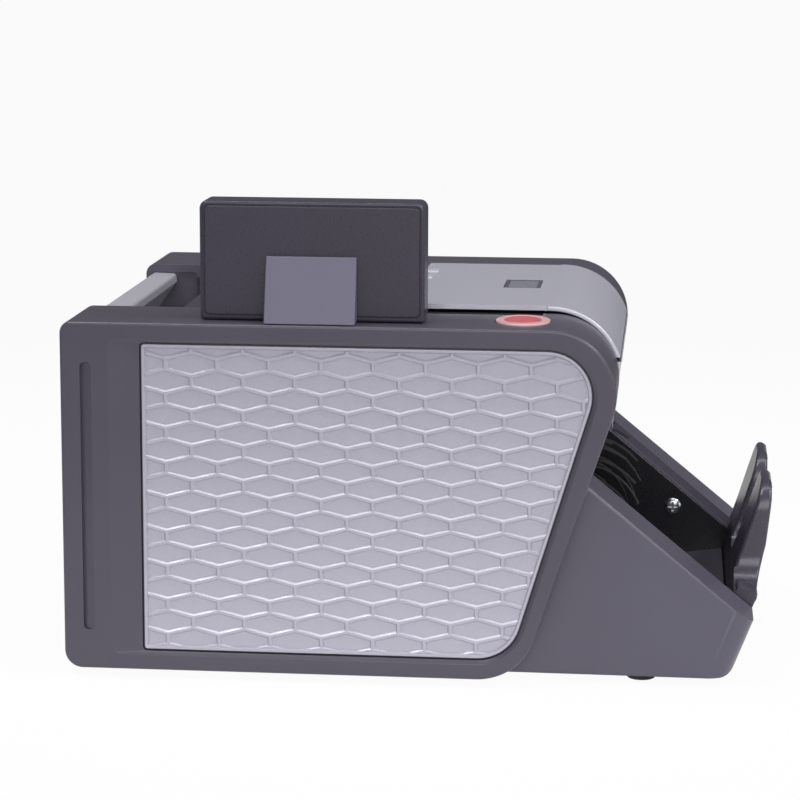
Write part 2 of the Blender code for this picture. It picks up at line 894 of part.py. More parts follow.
def make_drive(metal, plastic, belt_rubber):
    """The motor, its pulleys and the belts that drive the shafts."""
    x_in = -span_half
    motor = make_object("drive_motor", turned(motor_axis, [
        (x_in, motor_boss_radius), (x_in + motor_boss_length, motor_boss_radius),
        (x_in + motor_boss_length, motor_radius), (x_in + motor_length, motor_radius)]), metal)
    bore = motor_shaft_radius + gap
    cut(motor, round_bar(motor_axis, bore, x_in - overrun, x_in + motor_length / 2))
    first_x, second_x = across(left, first_belt_depth), across(left, second_belt_depth)
    half = belt_width / 2 + gap
    rim = motor_pulley_radius + flange_height
    profile = [(first_x - half - flange_thickness, rim), (first_x - half, rim),
               (first_x - half, motor_pulley_radius), (first_x + half, motor_pulley_radius),
               (first_x + half, rim), (first_x + half + flange_thickness, rim),
               (first_x + half + flange_thickness, motor_shaft_radius),
               (x_in + motor_length / 2 - gap, motor_shaft_radius)]
    make_object("motor_pulley", turned(motor_axis, profile), plastic,
                pivot=at(first_x, *motor_axis))
    bore_on_shaft = shaft_radius + gap
    make_pulley("feed_pulley", feed_axis, ((first_belt_depth, feed_pulley_radius),
                                           (second_belt_depth, second_pulley_radius)),
                bore_on_shaft, plastic)
    make_pulley("stacker_pulley", stacker_axis, ((second_belt_depth, wheel_pulley_radius),),
                bore_on_shaft, plastic)
    make_belt("motor_belt", motor_axis, motor_pulley_radius, feed_axis, feed_pulley_radius,
              first_x, belt_rubber)
    make_belt("stacker_belt", feed_axis, second_pulley_radius, stacker_axis, wheel_pulley_radius,
              second_x, belt_rubber)
    make_belt("pickup_belt", pickup_axis, pickup_pulley_radius, feed_axis, pickup_pulley_radius,
              across(right, pickup_belt_depth), belt_rubber)


def make_shafts(steel):
    """The three shafts run in the bearing plates, and carry their pulleys at the ends."""
    plate_x = well_half + plate_thickness
    left_end = across(left, second_belt_depth - belt_width)
    right_end = across(right, pickup_belt_depth - belt_width)
    right_disc = across(right, pickup_belt_depth)
    make_roller_shaft("pickup_shaft", pickup_axis, -plate_x, right_end, steel, right_disc)
    make_roller_shaft("feed_shaft", feed_axis, left_end, right_end, steel, right_disc)
    make_roller_shaft("stacker_shaft", stacker_axis, left_end, plate_x, steel)


def make_chute(sheet, plastic):
    """The curved plate under the note path, and the sensor bar behind it."""
    top = (feed_axis[0] + chute_top_reach, feed_axis[1] - chute_top_drop)
    knee = (feed_axis[0] + chute_knee_reach, feed_axis[1] - chute_knee_drop)
    reach = wheel_radius + chute_foot_clearance
    foot = (stacker_axis[0] + reach * math.cos(chute_foot_turn),
            stacker_axis[1] + reach * math.sin(chute_foot_turn))
    make_object("chute_plate", prism(ribbon([top, knee, foot], chute_thickness), -span_half,
                                     span_half), sheet)
    way = (Vector(foot) - Vector(knee)).normalized()
    off = Vector((way.y, -way.x))
    start = Vector(knee) + off * (chute_thickness + sensor_clearance) + way * sensor_depth / 2
    corners = [start, start + way * sensor_length, start + way * sensor_length + off * sensor_depth,
               start + off * sensor_depth]
    make_object("sensor_bar", prism([(p.x, p.y) for p in corners], -span_half, span_half), plastic)


def side_outline():
    """A stacker side's outline: the cover's front, the sloping top, the nose and the floor."""
    drop = math.tan(side_slope)
    top_rear_ahead = ((side_nose_height + side_nose_reach * drop + cover_foot_reach / math.tan(cover_lean))
                      / (drop + 1 / math.tan(cover_lean)))
    top_rear_height = side_nose_height + (side_nose_reach - top_rear_ahead) * drop
    corners = [(side_tail, 0), (side_foot_reach, 0), (side_nose_reach, side_nose_height),
               (top_rear_ahead, top_rear_height)]
    return corners


def shrink(corners, inset):
    """Move every edge of a counter-clockwise outline in by the same distance."""
    count = len(corners)
    moved = []
    for i in range(count):
        before, here, after = (Vector(corners[(i + k) % count]) for k in (-1, 0, 1))
        way_in, way_out = (here - before).normalized(), (after - here).normalized()
        bisector = (Vector((-way_in.y, way_in.x)) + Vector((-way_out.y, way_out.x))).normalized()
        moved.append(here + bisector * inset / bisector.dot(Vector((-way_in.y, way_in.x))))
    return [(p.x, p.y) for p in moved]


def make_stacker_side(side, name, material):
    """A hollow wedge beside the stacker pocket, open at the rear behind the side cover."""
    corners = side_outline()
    x_out, x_in = across(side, stacker_inset), across(side, pocket_wall_inset)
    shape = prism(corners, x_out, x_in)
    nose = at(x_out, *corners[2])
    edges = [e for e in shape.edges
             if all(abs(v.co.x - x_out) < gap for v in e.verts)
             and any((v.co - nose).length < gap for v in e.verts)
             and all(v.co.z < nose.z + gap for v in e.verts)]
    bmesh.ops.bevel(shape, geom=edges, offset=side_corner_radius, offset_type="OFFSET", segments=4,
                    profile=0.5, affect="EDGES")
    wedge = make_object(name, shape, material)
    cut(wedge, prism(cover_outline(-gap), across(side, -overrun), across(side, module_width)))
    inner = shrink(corners, side_wall)
    stretch = inner[0][0] - side_corner_radius
    ease = side_corner_radius / 4
    hollow = [(stretch, inner[0][1]), (inner[1][0] - ease, inner[1][1]),
              (inner[2][0] - ease, inner[2][1]), inner[3], (stretch, inner[3][1])]
    cut(wedge, prism(hollow, across(side, stacker_inset + side_wall),
                     across(side, pocket_wall_inset - side_wall)))
    cut(wedge, round_bar((screw_ahead, screw_height), screw_shank_radius + gap,
                         across(side, pocket_wall_inset - 2 * side_wall),
                         across(side, pocket_wall_inset + side_wall), steps=16))
    return wedge


def make_screw(side, name, material):
    """A cross-head screw through the pocket's wall."""
    wall = across(side, pocket_wall_inset)
    axis = (screw_ahead, screw_height)
    seat = wall - side * gap
    head = seat - side * screw_head_height
    profile = [(wall + side * (screw_shank_length - gap), screw_shank_radius),
               (seat, screw_shank_radius), (seat, screw_head_radius),
               (head + side * screw_head_height / 2, screw_head_radius),
               (head, screw_head_radius * 2 / 3)]
    screw = make_object(name, turned(axis, profile, steps=16), material)
    for along, tall in ((screw_head_radius, screw_slot_width), (screw_slot_width, screw_head_radius)):
        cut(screw, block(head - side * overrun, head + side * screw_slot_depth,
                         axis[0] - along / 2, axis[0] + along / 2,
                         axis[1] - tall / 2, axis[1] + tall / 2))
    return screw


def make_stacker_bed(material):
    """The sloping floor that the counted notes stand on."""
    rear_height = base_thickness + gap + bed_thickness
    front_height = rear_height + bed_rise
    rear_face = [(stop_foot_rear, 0), (overall_length - stop_rear_setback, stop_rear_height)]
    share = front_height / stop_rear_height
    reach = rear_face[0][0] + (rear_face[1][0] - rear_face[0][0]) * share - 3 * gap
    path = [(bed_rear, rear_height), (reach, front_height)]
    return make_object("stacker_bed", prism(ribbon(path, bed_thickness), -pocket_half + gap,
                                            pocket_half - gap), material)


def drawn(outline, ahead_from, ahead_to):
    """An outline of (x, height) points, drawn out along the machine."""
    return loft([[at(x, d, h) for x, h in outline] for d in (ahead_from, ahead_to)])


def make_stop_plate(material):
    """The low front wall and the two tall fingers that the notes lean on."""
    shoulder = (overall_length - stop_shoulder_setback, stop_shoulder_height)
    rear = (overall_length - stop_rear_setback, stop_rear_height)
    wall_outline = [(stop_foot_rear, 0), (side_foot_reach, 0), shoulder, rear]
    plate = make_object("stop_plate", prism(wall_outline, -pocket_half + gap, pocket_half - gap),
                        material)
    tip = overall_length
    corners = [(rear[0] + gap, rear[1] - stop_wall), (shoulder[0] - gap, shoulder[1] - stop_wall),
               (shoulder[0] - gap, shoulder[1]), (tip, finger_top_height - finger_top_thickness),
               (tip - finger_top_thickness / 4, finger_top_height),
               (tip - finger_top_thickness, finger_top_height), (rear[0] + gap, rear[1])]
    radii = [0, 0, 0, finger_edge_radius, finger_edge_radius / 2, finger_edge_radius / 2, 0]
    half = finger_width / 2
    low = stop_shoulder_height - 2 * stop_wall
    for number, centre in enumerate((-finger_spacing / 2, finger_spacing / 2)):
        finger = make_object(f"finger_tool_{number}", prism(rounded(corners, radii, steps=3),
                                                            centre - half, centre + half), None)
        tongue = rounded([(centre - half - gap, low), (centre + half + gap, low),
                          (centre + half + gap, finger_top_height + gap),
                          (centre - half - gap, finger_top_height + gap)],
                         [0, 0, finger_corner_radius, finger_corner_radius])
        keep_common(finger, drawn(tongue, side_foot_reach - stop_wall, tip + overrun))
        join(plate, finger)
    return plate


def make_feet(rubber):
    """Four turned rubber feet, narrower where they meet the counter."""
    for end, distance in (("front", front_foot_ahead), ("rear", rear_foot_ahead)):
        for side, side_name in ((left, "left"), (right, "right")):
            x = across(side, foot_inset)
            chamfer = foot_height / 5
            rings = ((foot_radius - chamfer, -foot_height), (foot_radius, chamfer - foot_height),
                     (foot_radius, -gap))
            loops = [[at(px, pd, h) for px, pd in circle((x, distance), radius, 24)]
                     for radius, h in rings]
            make_object(f"foot_{end}_{side_name}", loft(loops), rubber)


def make_display(shell_plastic, screen_plastic, bracket_plastic, steel):
    """The customer display folds inwards about a pin that the wedge bracket holds."""
    outer, inner = across(left, display_inset), across(left, display_inset + display_thickness)
    low = body_height + display_clearance
    high = low + display_height
    front = display_rear + display_length
    edge = display_edge_radius
    section = rounded([(outer, low), (inner, low), (inner, high), (outer, high)],
                      [edge, display_corner_radius, edge, edge])
    pin_x, pin_height = inner - display_corner_radius, low + display_corner_radius
    shell = make_object("display_shell", drawn(section, display_rear, front), shell_plastic,
                        pivot=at(pin_x, display_rear, pin_height))
    side_view = rounded([(display_rear, low), (front, low), (front, high), (display_rear, high)],
                        [edge, edge, display_corner_radius, display_corner_radius], steps=4)
    keep_common(shell, prism(side_view, outer - overrun, inner + overrun))
    pocket = (display_rear + display_rim, front - display_rim, low + display_chin, high - display_rim)
    cut(shell, block(inner - display_pocket, inner + overrun, *pocket))
    ear_radius = display_corner_radius - notch_clearance / 2
    bracket_front = bracket_rear + bracket_length
    ears = (bracket_rear + ear_setback, bracket_front - ear_setback)
    for ear in ears:
        reach = ear_thickness / 2 + notch_clearance
        cut(shell, block(outer - overrun, inner + overrun, ear - reach, ear + reach, low - overrun,
                         pin_height + ear_radius + notch_clearance))
    bore = circle((pin_x, pin_height), pin_radius + gap, 16)
    cut(shell, drawn(bore, bracket_rear - ear_setback, bracket_front + ear_setback))
    make_object("display_screen", block(inner - screen_sink - screen_thickness, inner - screen_sink,
                                        pocket[0] + gap, pocket[1] - gap, pocket[2] + gap,
                                        pocket[3] - gap), screen_plastic,
                pivot=at(pin_x, display_rear, pin_height))
    pin = circle((pin_x, pin_height), pin_radius, 16)
    make_object("display_pin", drawn(pin, bracket_rear - ear_setback + gap,
                                     bracket_front + ear_setback - gap), steel)
    foot_height_here = body_height + gap
    lip = display_edge_radius
    face = outer - 2 * gap
    wedge = [(across(left, lip / 2), foot_height_here), (face, foot_height_here),
             (face, foot_height_here + bracket_height),
             (face - lip, foot_height_here + bracket_height)]
    bracket = make_object("display_bracket", drawn(wedge, bracket_rear, bracket_front),
                          bracket_plastic)
    top = pin_height + ear_radius
    ear_line = [(outer - 2 * lip, foot_height_here), (pin_x, foot_height_here)]
    for k in range(1, 2 * arc_steps):
        angle = -math.pi / 2 + math.pi * k / (2 * arc_steps)
        ear_line.append((pin_x + ear_radius * math.cos(angle),
                         max(pin_height + ear_radius * math.sin(angle), foot_height_here)))
    ear_line += [(pin_x, top), (outer - 2 * lip, top)]
    for ear in ears:
        join(bracket, drawn(ear_line, ear - ear_thickness / 2, ear + ear_thickness / 2))
    cut(bracket, drawn(circle((pin_x, pin_height), pin_radius + gap, 16),
                       bracket_rear - overrun, bracket_front + overrun))


def oval(centre_x, distance, half_width_x, half_length, low, high, steps=32):
    """An upright oval prism."""
    ring = []
    for k in range(steps):
        angle = 2 * math.pi * k / steps
        ring.append((centre_x + half_width_x * math.cos(angle),
                     distance + half_length * math.sin(angle)))
    return loft([[at(x, d, h) for x, d in ring] for h in (low, high)])


def make_badge(cover, material):
    """A plain oval badge in a shallow seat on the left cover's top."""
    x = across(left, badge_inset)
    floor = body_height - badge_sink
    cut(cover, oval(x, badge_ahead, badge_half_width + gap, badge_half_length + gap, floor,
                    body_height + overrun))
    make_object("top_badge", oval(x, badge_ahead, badge_half_width, badge_half_length, floor + gap,
                                  floor + gap + badge_thickness), material)


def make_inlet(material):
    """The mains inlet: a flanged box with three pins."""
    half, half_tall = inlet_width / 2 - gap, inlet_tall / 2 - gap
    face = rear_panel_setback - gap
    box = make_object("power_inlet", block(inlet_offset - half, inlet_offset + half, face,
                                           face + inlet_depth, inlet_height - half_tall,
                                           inlet_height + half_tall), material)
    rim, rim_tall = half + inlet_rim, half_tall + inlet_rim
    join(box, block(inlet_offset - rim, inlet_offset + rim, face - inlet_wall / 2,
                    face, inlet_height - rim_tall, inlet_height + rim_tall))
    hollow, hollow_tall = half - inlet_wall, half_tall - inlet_wall
    cut(box, block(inlet_offset - hollow, inlet_offset + hollow, face - overrun,
                   face + inlet_depth - inlet_floor, inlet_height - hollow_tall,
                   inlet_height + hollow_tall))
    for across_by, up_by in ((-inlet_pin_spacing, -inlet_pin_tall / 2), (0, inlet_pin_tall / 2),
                             (inlet_pin_spacing, -inlet_pin_tall / 2)):
        x, h = inlet_offset + across_by, inlet_height + up_by
        join(box, block(x - inlet_pin_width / 2, x + inlet_pin_width / 2,
                        face + inlet_depth - inlet_floor - inlet_pin_length,
                        face + inlet_depth - inlet_floor / 2, h - inlet_pin_tall / 2,
                        h + inlet_pin_tall / 2))
    return box


def make_rocker(material):
    """The rocker of the mains switch, resting with its lower half pressed in."""
    pivot = (rear_panel_setback + switch_pivot_depth, inlet_height)
    half = switch_tall / 2 - switch_play
    crown = switch_pivot_depth + switch_crown
    outline = []
    for out, up in ((-crown, 0), (-crown - half * math.tan(switch_tilt), half),
                    (switch_depth - switch_pivot_depth, half - switch_play),
                    (switch_depth - switch_pivot_depth, switch_play - half),
                    (-crown - half * math.tan(switch_tilt), -half)):
        turned_out = out * math.cos(switch_tilt) - up * math.sin(switch_tilt)
        turned_up = out * math.sin(switch_tilt) + up * math.cos(switch_tilt)
        outline.append((pivot[0] + turned_out, pivot[1] + turned_up))
    x = switch_offset
    return make_object("rocker_switch", prism(outline, x - switch_width / 2, x + switch_width / 2),
                       material, pivot=at(x, *pivot))


def make_boards(board_green, metal):
    """The main board on its posts and the transformer, in the right side cover."""
    x = across(right, main_board_depth)
    back = across(right, main_board_depth + board_thickness)
    end, top = main_board_rear + main_board_length, main_board_bottom + main_board_height
    board = make_object("main_board", block(x, back, main_board_rear, end, main_board_bottom, top),
                        board_green)
    inset = chip_length / 2
    for d in (main_board_rear + inset, end - inset):
        for h in (main_board_bottom + inset, top - inset):
            join(board, round_bar((d, h), chip_height, (x + back) / 2,
                                  across(right, plate_outer_depth - gap), steps=12))
    for d in (main_board_rear + 2 * chip_length, main_board_rear + 4 * chip_length):
        join(board, block((x + back) / 2, x + chip_height, d, d + chip_length,
                          main_board_bottom + 2 * chip_length, main_board_bottom + 3 * chip_length))
    low = cover_wall + gap
    near, far = half_width - cover_face - gap, half_width - cover_face - gap - transformer_width
    coil = make_object("transformer", block(near, far, transformer_rear,
                                            transformer_rear + transformer_length, low,
                                            low + transformer_height), metal)
    middle = transformer_rear + transformer_length / 2
    join(coil, block(near - transformer_width / 4, far - core_stand, middle - core_length / 2,
                     middle + core_length / 2, low + core_stand, low + transformer_height + core_stand))
    return coil


def main():
    clear_scene()
    cover_plastic = paint("cover plastic", "56525f", 0.42)
    inlay_plastic = paint("inlay plastic", "aeabb8", 0.45)
    silver_plastic = paint("silver plastic", "9a9aa4", 0.38)
    dark_plastic = paint("dark plastic", "45414e", 0.40)
    display_plastic = paint("display plastic", "3d3a47", 0.35)
    bracket_plastic = paint("bracket plastic", "6b6878", 0.50)
    key_plastic = paint("key plastic", "c9c8d0", 0.45)
    black_plastic = paint("black plastic", "17171a", 0.50)
    red_plastic = paint("red plastic", "d0606a", 0.25)
    window_plastic = paint("window plastic", "2a2b30", 0.12)
    steel = paint("steel", "b9bbbf", 0.30, metallic=1.0)
    sheet = paint("painted sheet", "2c2b31", 0.55)
    rubber = paint("rubber", "1b1b1d", 0.85)
    board_green = paint("circuit board", "1f5a3a", 0.50)

    left_cover = make_side_cover(left, "side_cover_left", cover_plastic)
    make_badge(left_cover, red_plastic)
    make_side_cover(right, "side_cover_right", cover_plastic)
    for side, side_name in ((left, "left"), (right, "right")):
        make_inlay(side, f"inlay_{side_name}", inlay_plastic)
        make_bearing_plate(side, f"bearing_plate_{side_name}", sheet)
        make_note_guide(side, f"note_guide_{side_name}", black_plastic)
        make_stacker_side(side, f"stacker_side_{side_name}", cover_plastic)
        make_screw(side, f"stacker_screw_{side_name}", steel)
    make_base_plate(sheet)
    make_rear_panel(cover_plastic)
    make_bar(silver_plastic)
    make_front_cover(silver_plastic)
    make_window(window_plastic)
    make_keys(key_plastic)
    make_control_board(board_green)
    make_hopper_plate(dark_plastic)
    make_front_guide(dark_plastic)
    make_retard_block(rubber)
    make_knob(black_plastic)
    make_shafts(steel)
    for x, side_name in zip(tyre_places(), ("left", "right")):
        make_tyre(f"pickup_tyre_{side_name}", pickup_axis, pickup_tyre_radius, x, rubber)
        make_tyre(f"feed_tyre_{side_name}", feed_axis, feed_tyre_radius, x, rubber)
    make_stacker_wheel("stacker_wheel_left", -wheel_centre, rubber)
    make_stacker_wheel("stacker_wheel_right", wheel_centre, rubber)
    make_drive(steel, black_plastic, rubber)
    make_chute(sheet, black_plastic)
    make_stacker_bed(dark_plastic)
    make_stop_plate(dark_plastic)
    make_feet(rubber)
    make_display(display_plastic, window_plastic, bracket_plastic, steel)
    make_inlet(black_plastic)
    make_rocker(black_plastic)
    make_boards(board_green, steel)


main()
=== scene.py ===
# %% [markdown]
# # A banknote counter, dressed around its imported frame
#
# A shop's banknote counter is a plastic housing with a paper path inside. Two hollow side covers carry
# a silver roll-top between them, a hopper takes the notes, and bladed rubber wheels stand the counted
# notes up against two fingers at the front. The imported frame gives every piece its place. This lesson
# builds the visible skins in more detail than the frame has, and gives each piece its real material.

# %% Load the frame
import math
from functools import partial

import bmesh
import bpy
from mathutils import Matrix, Vector


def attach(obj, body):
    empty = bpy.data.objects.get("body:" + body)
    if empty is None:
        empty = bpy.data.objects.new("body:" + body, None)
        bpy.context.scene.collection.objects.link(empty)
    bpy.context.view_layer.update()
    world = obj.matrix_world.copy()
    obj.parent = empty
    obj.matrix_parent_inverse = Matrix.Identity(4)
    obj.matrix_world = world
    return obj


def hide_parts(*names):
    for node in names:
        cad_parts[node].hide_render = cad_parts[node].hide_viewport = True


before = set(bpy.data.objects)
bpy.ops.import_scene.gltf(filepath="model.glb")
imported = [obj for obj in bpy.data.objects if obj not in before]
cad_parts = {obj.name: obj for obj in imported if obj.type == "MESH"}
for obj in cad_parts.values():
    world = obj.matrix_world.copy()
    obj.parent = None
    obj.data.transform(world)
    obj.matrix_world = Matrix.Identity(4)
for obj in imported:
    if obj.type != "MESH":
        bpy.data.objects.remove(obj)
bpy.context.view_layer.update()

# %% [markdown]
# ## The camera
#
# A picture of a product is only comparable with its model when both are seen from the same place. The
# side cover's corners were measured in the photograph, and a camera was fitted to them: it stands
# 1.45 m to the operator's left, looks down by ten degrees, and turns a little towards the rear. A long
# lens keeps the side nearly square to the view. The angles go into one matrix, so nothing needs a
# target object.

# %% Camera
CAMERA_PLACE = Vector((-1.44485, -0.12271, 0.37758))
CAMERA_PITCH = 0.1767
CAMERA_HEADING = 0.0999
CAMERA_ROLL = 0.0036
LENS_MM = 123.57

camera_data = bpy.data.cameras.new("camera")
camera_data.lens = LENS_MM
camera_data.sensor_width = 36.0
camera_data.clip_end = 100.0
camera = bpy.data.objects.new("camera", camera_data)
bpy.context.scene.collection.objects.link(camera)
camera.matrix_world = (
    Matrix.Translation(CAMERA_PLACE)
    @ Matrix.Rotation(CAMERA_HEADING - math.pi / 2, 4, "Z")
    @ Matrix.Rotation(math.pi / 2 - CAMERA_PITCH, 4, "X")
    @ Matrix.Rotation(CAMERA_ROLL, 4, "Z")
)
bpy.context.scene.camera = camera
print("camera looks along", [round(c, 3) for c in camera.matrix_world.to_3x3() @ Vector((0, 0, -1))])

# %% [markdown]
# ## Measuring in the maker's way
#
# The housing's drawing is easiest to read in millimetres: how far a point is ahead of the rear face,
# and how high it is above the covers' underside. One function turns such a place into the frame's
# metres. The front is towards -Y and the feet lift the covers by 4 mm.

# %% Places
MM = 0.001
REAR_Y = 176.0
FLOOR_Z = 4.0
HALF_WIDTH = 140.0
WELL_HALF = 84.0
SIDES = {"left": -1, "right": 1}


def place(x, ahead, height):
    """A point of the drawing, in millimetres, as a place in the frame, in metres."""
    return Vector((x, REAR_Y - ahead, FLOOR_Z + height)) * MM


LAYS = {
    "across": lambda a, h, d: place(d, a, h),
    "upright": lambda x, a, d: place(x, a, d),
    "along": lambda x, h, d: place(x, d, h),
}
print("front top of the covers:", [round(c, 4) for c in place(-HALF_WIDTH, 285, 175)])

# %% [markdown]
# ## Outlines with spun corners
#
# Almost every piece is a flat outline with rounded corners, given a thickness. A corner's arc could be
# written as a list of points. It is better to let the spin operator turn one vertex about the corner's
# centre, as a router's cutter would: the arc is then a true circle at any corner angle, and the number
# of steps stays free. The outline's face is then extruded.

# %% Outline and slab


def new_verts(result):
    """The vertices among what an operator has made."""
    return [g for g in result["geom"] if isinstance(g, bmesh.types.BMVert)]


def everything(bm):
    return bm.verts[:] + bm.edges[:] + bm.faces[:]


def spun_corner(bm, here, back, on, radius, locate, steps):
    """Spin the arc that rounds one corner, and return its first and last vertex."""
    half = back.angle(on) / 2
    centre = here + (back + on).normalized() * radius / math.sin(half)
    reach = radius / math.tan(half)
    hub, first, last = (locate(*p) for p in (centre, here + back * reach, here + on * reach))
    start = bm.verts.new(first)
    spun = bmesh.ops.spin(bm, geom=[start], cent=hub, axis=(first - hub).cross(last - hub).normalized(),
                          angle=(first - hub).angle(last - hub), steps=steps, use_duplicate=False)
    return start, next(v for v in spun["geom_last"] if isinstance(v, bmesh.types.BMVert))


def outline_face(bm, lay, corners, radii, level, steps=10):
    """Add a flat face with rounded corners, in one of the three lays, at a level in millimetres."""
    def locate(a, b):
        return LAYS[lay](a, b, level)

    known = set(bm.edges)
    ends = []
    for i, corner in enumerate(corners):
        here = Vector(corner)
        back = (Vector(corners[i - 1]) - here).normalized()
        on = (Vector(corners[(i + 1) % len(corners)]) - here).normalized()
        if radii[i]:
            ends.append(spun_corner(bm, here, back, on, radii[i], locate, steps))
        else:
            vertex = bm.verts.new(locate(*here))
            ends.append((vertex, vertex))
    for (_, last), (first, _) in zip(ends, ends[1:] + ends[:1]):
        bm.edges.new((last, first))
    loop = [e for e in bm.edges if e not in known]
    return bmesh.ops.contextual_create(bm, geom=loop)["faces"][0]


def slab(lay, corners, radii, start, end, steps=10):
    """An outline drawn out from one level to another."""
    bm = bmesh.new()
    face = outline_face(bm, lay, corners, radii, start, steps)
    grown = bmesh.ops.extrude_face_region(bm, geom=[face])
    step = LAYS[lay](0, 0, end) - LAYS[lay](0, 0, start)
    bmesh.ops.translate(bm, vec=step, verts=new_verts(grown))
    bmesh.ops.recalc_face_normals(bm, faces=bm.faces)
    return bm


def box(lay, a, b, start, end, radius=0.0, steps=4):
    """A block between two spans (from, to) of the lay's first two axes, with rounded corners."""
    corners = [(a[0], b[0]), (a[1], b[0]), (a[1], b[1]), (a[0], b[1])]
    return slab(lay, corners, [radius] * 4, start, end, steps)


def in_plane(axis, at, slack=0.1):
    """A test for edges that lie in a plane, given by its axis and its place in millimetres."""
    return lambda e: all(abs(v.co["xyz".index(axis)] - at * MM) < slack * MM for v in e.verts)


def edges_at(bm, **planes):
    """Edges that lie wholly in all the given planes."""
    return [e for e in bm.edges if all(in_plane(axis, at, 0.02)(e) for axis, at in planes.items())]


def bevel(bm, edges, width, segments):
    """Round edges by a width in millimetres."""
    bmesh.ops.bevel(bm, geom=edges, offset=width * MM, offset_type="OFFSET", segments=segments,
                    profile=0.5, affect="EDGES", clamp_overlap=False, material=-1)


def round_edges(bm, width, segments=3, pick=lambda e: True, sharper_than=35.0):
    """Bevel the picked sharp edges, and return the mesh."""
    bevel(bm, [e for e in bm.edges if len(e.link_faces) == 2 and pick(e)
               and e.calc_face_angle(0.0) > math.radians(sharper_than)], width, segments)
    return bm


test = round_edges(box("across", (0, 40), (0, 20), 0, 5, radius=4), 0.5)
print("a rounded test block has", len(test.faces), "faces")
test.free()

# %% [markdown]
# ## Finishing a piece
#
# A finished piece is an object at the origin with its place in its mesh. Its material, the body that
# it moves with and the frame nodes it stands for are given in one call. Flat faces stay flat and
# fillets stay round when the normals are weighted by face area, so each piece ends with a Weighted
# Normal modifier.

# %% Finish and carve


def new_object(bm, name, sharp_angle=35.0):
    bmesh.ops.remove_doubles(bm, verts=bm.verts, dist=0.000002)
    bmesh.ops.recalc_face_normals(bm, faces=bm.faces)
    mesh = bpy.data.meshes.new(name)
    bm.to_mesh(mesh)
    bm.free()
    mesh.shade_smooth()
    mesh.set_sharp_from_angle(angle=math.radians(sharp_angle))
    made = bpy.data.objects.new(name, mesh)
    bpy.context.scene.collection.objects.link(made)
    return made


def carve(piece, tool, operation="DIFFERENCE"):
    """Cut a bmesh tool out of a piece at once, and throw the tool away."""
    cutter = new_object(tool, "cutter")
    modifier = piece.modifiers.new("carve", "BOOLEAN")
    modifier.operation = operation
    modifier.solver = "EXACT"
    modifier.object = cutter
    seen = piece.evaluated_get(bpy.context.evaluated_depsgraph_get())
    result = bpy.data.meshes.new_from_object(seen)
    piece.modifiers.clear()
    old = piece.data
    piece.data = result
    result.name = piece.name
    bpy.data.meshes.remove(old)
    bpy.data.objects.remove(cutter)
    return piece


def finish(piece, material, slot, body="machine", stands_for=(), sharp_angle=35.0):
    """Shade a piece, give it its material, and fix it to its body."""
    piece.data.materials.clear()
    piece.data.materials.append(material)
    piece.data.shade_smooth()
    piece.data.set_sharp_from_angle(angle=math.radians(sharp_angle))
    weighted = piece.modifiers.new("weighted normals", "WEIGHTED_NORMAL")
    weighted.keep_sharp = True
    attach(piece, body)
    if stands_for:
        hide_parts(*stands_for)
    low, high = (Vector(f(v.co[i] for v in piece.data.vertices) for i in range(3)) for f in (min, max))
    print(f"{piece.name}: {len(piece.data.polygons)} faces,", [round(c * 1000, 1) for c in high - low], "mm")
    return piece


def make(bm, name, material, slot, **more):
    """A finished piece straight from its mesh, when nothing is carved out of it."""
    return finish(new_object(bm, name), material, slot, **more)


# %% [markdown]
# ## Materials: one helper, real names
#
# Every finish is a node tree on Object coordinates, so a grain keeps its size in millimetres on each
# piece. The helper adds one node with its settings and links, and short functions on top of it stand
# for what each finish repeats: noise, a mapped span, a blend and a bump. Colours are written as the
# sRGB values that a picker would show, and one function turns them to linear light.

# %% Node helper


def linear(hex_colour):
    """An sRGB hex colour as linear RGBA."""
    shares = [int(hex_colour[i : i + 2], 16) / 255 for i in (0, 2, 4)]
    return [s / 12.92 if s <= 0.04045 else ((s + 0.055) / 1.055) ** 2.4 for s in shares] + [1.0]


def wire(tree, made, inputs):
    """Set or link a node's inputs, by name or number."""
    for key, value in inputs.items():
        if isinstance(value, bpy.types.NodeSocket):
            tree.links.new(value, made.inputs[key])
        else:
            made.inputs[key].default_value = value
    return made


def node(tree, kind, inputs=None, **settings):
    """Add a node with its properties and inputs."""
    made = tree.nodes.new(kind)
    for key, value in settings.items():
        setattr(made, key, value)
    return wire(tree, made, inputs or {})


def per_mm(size):
    """The texture scale that makes a pattern's unit this many millimetres."""
    return 1.0 / (size * MM)


def noise(tree, spot, size, detail):
    return node(tree, "ShaderNodeTexNoise",
                {"Vector": spot, "Scale": per_mm(size), "Detail": detail}).outputs["Fac"]


def spread(tree, value, low, high, start=0.0, end=1.0):
    """Map a value that runs from start to end onto low to high."""
    return node(tree, "ShaderNodeMapRange", {"Value": value, "From Min": start, "From Max": end,
                                             "To Min": low, "To Max": high}).outputs["Result"]


def blend(tree, share, first, second, mode="MIX"):
    return node(tree, "ShaderNodeMix", {"Factor": share, 6: first, 7: second}, data_type="RGBA",
                blend_type=mode).outputs[2]


def bumps(tree, height, depth, strength=1.0):
    """A normal that follows a height, with a depth in millimetres."""
    return node(tree, "ShaderNodeBump", {"Height": height, "Strength": strength,
                                         "Distance": depth * MM}).outputs["Normal"]


def new_material(name):
    """A material with its tree, its shader and its Object coordinates."""
    material = bpy.data.materials.new(name)
    material.use_nodes = True
    tree = material.node_tree
    spot = node(tree, "ShaderNodeTexCoord").outputs["Object"]
    return material, tree, tree.nodes["Principled BSDF"], spot


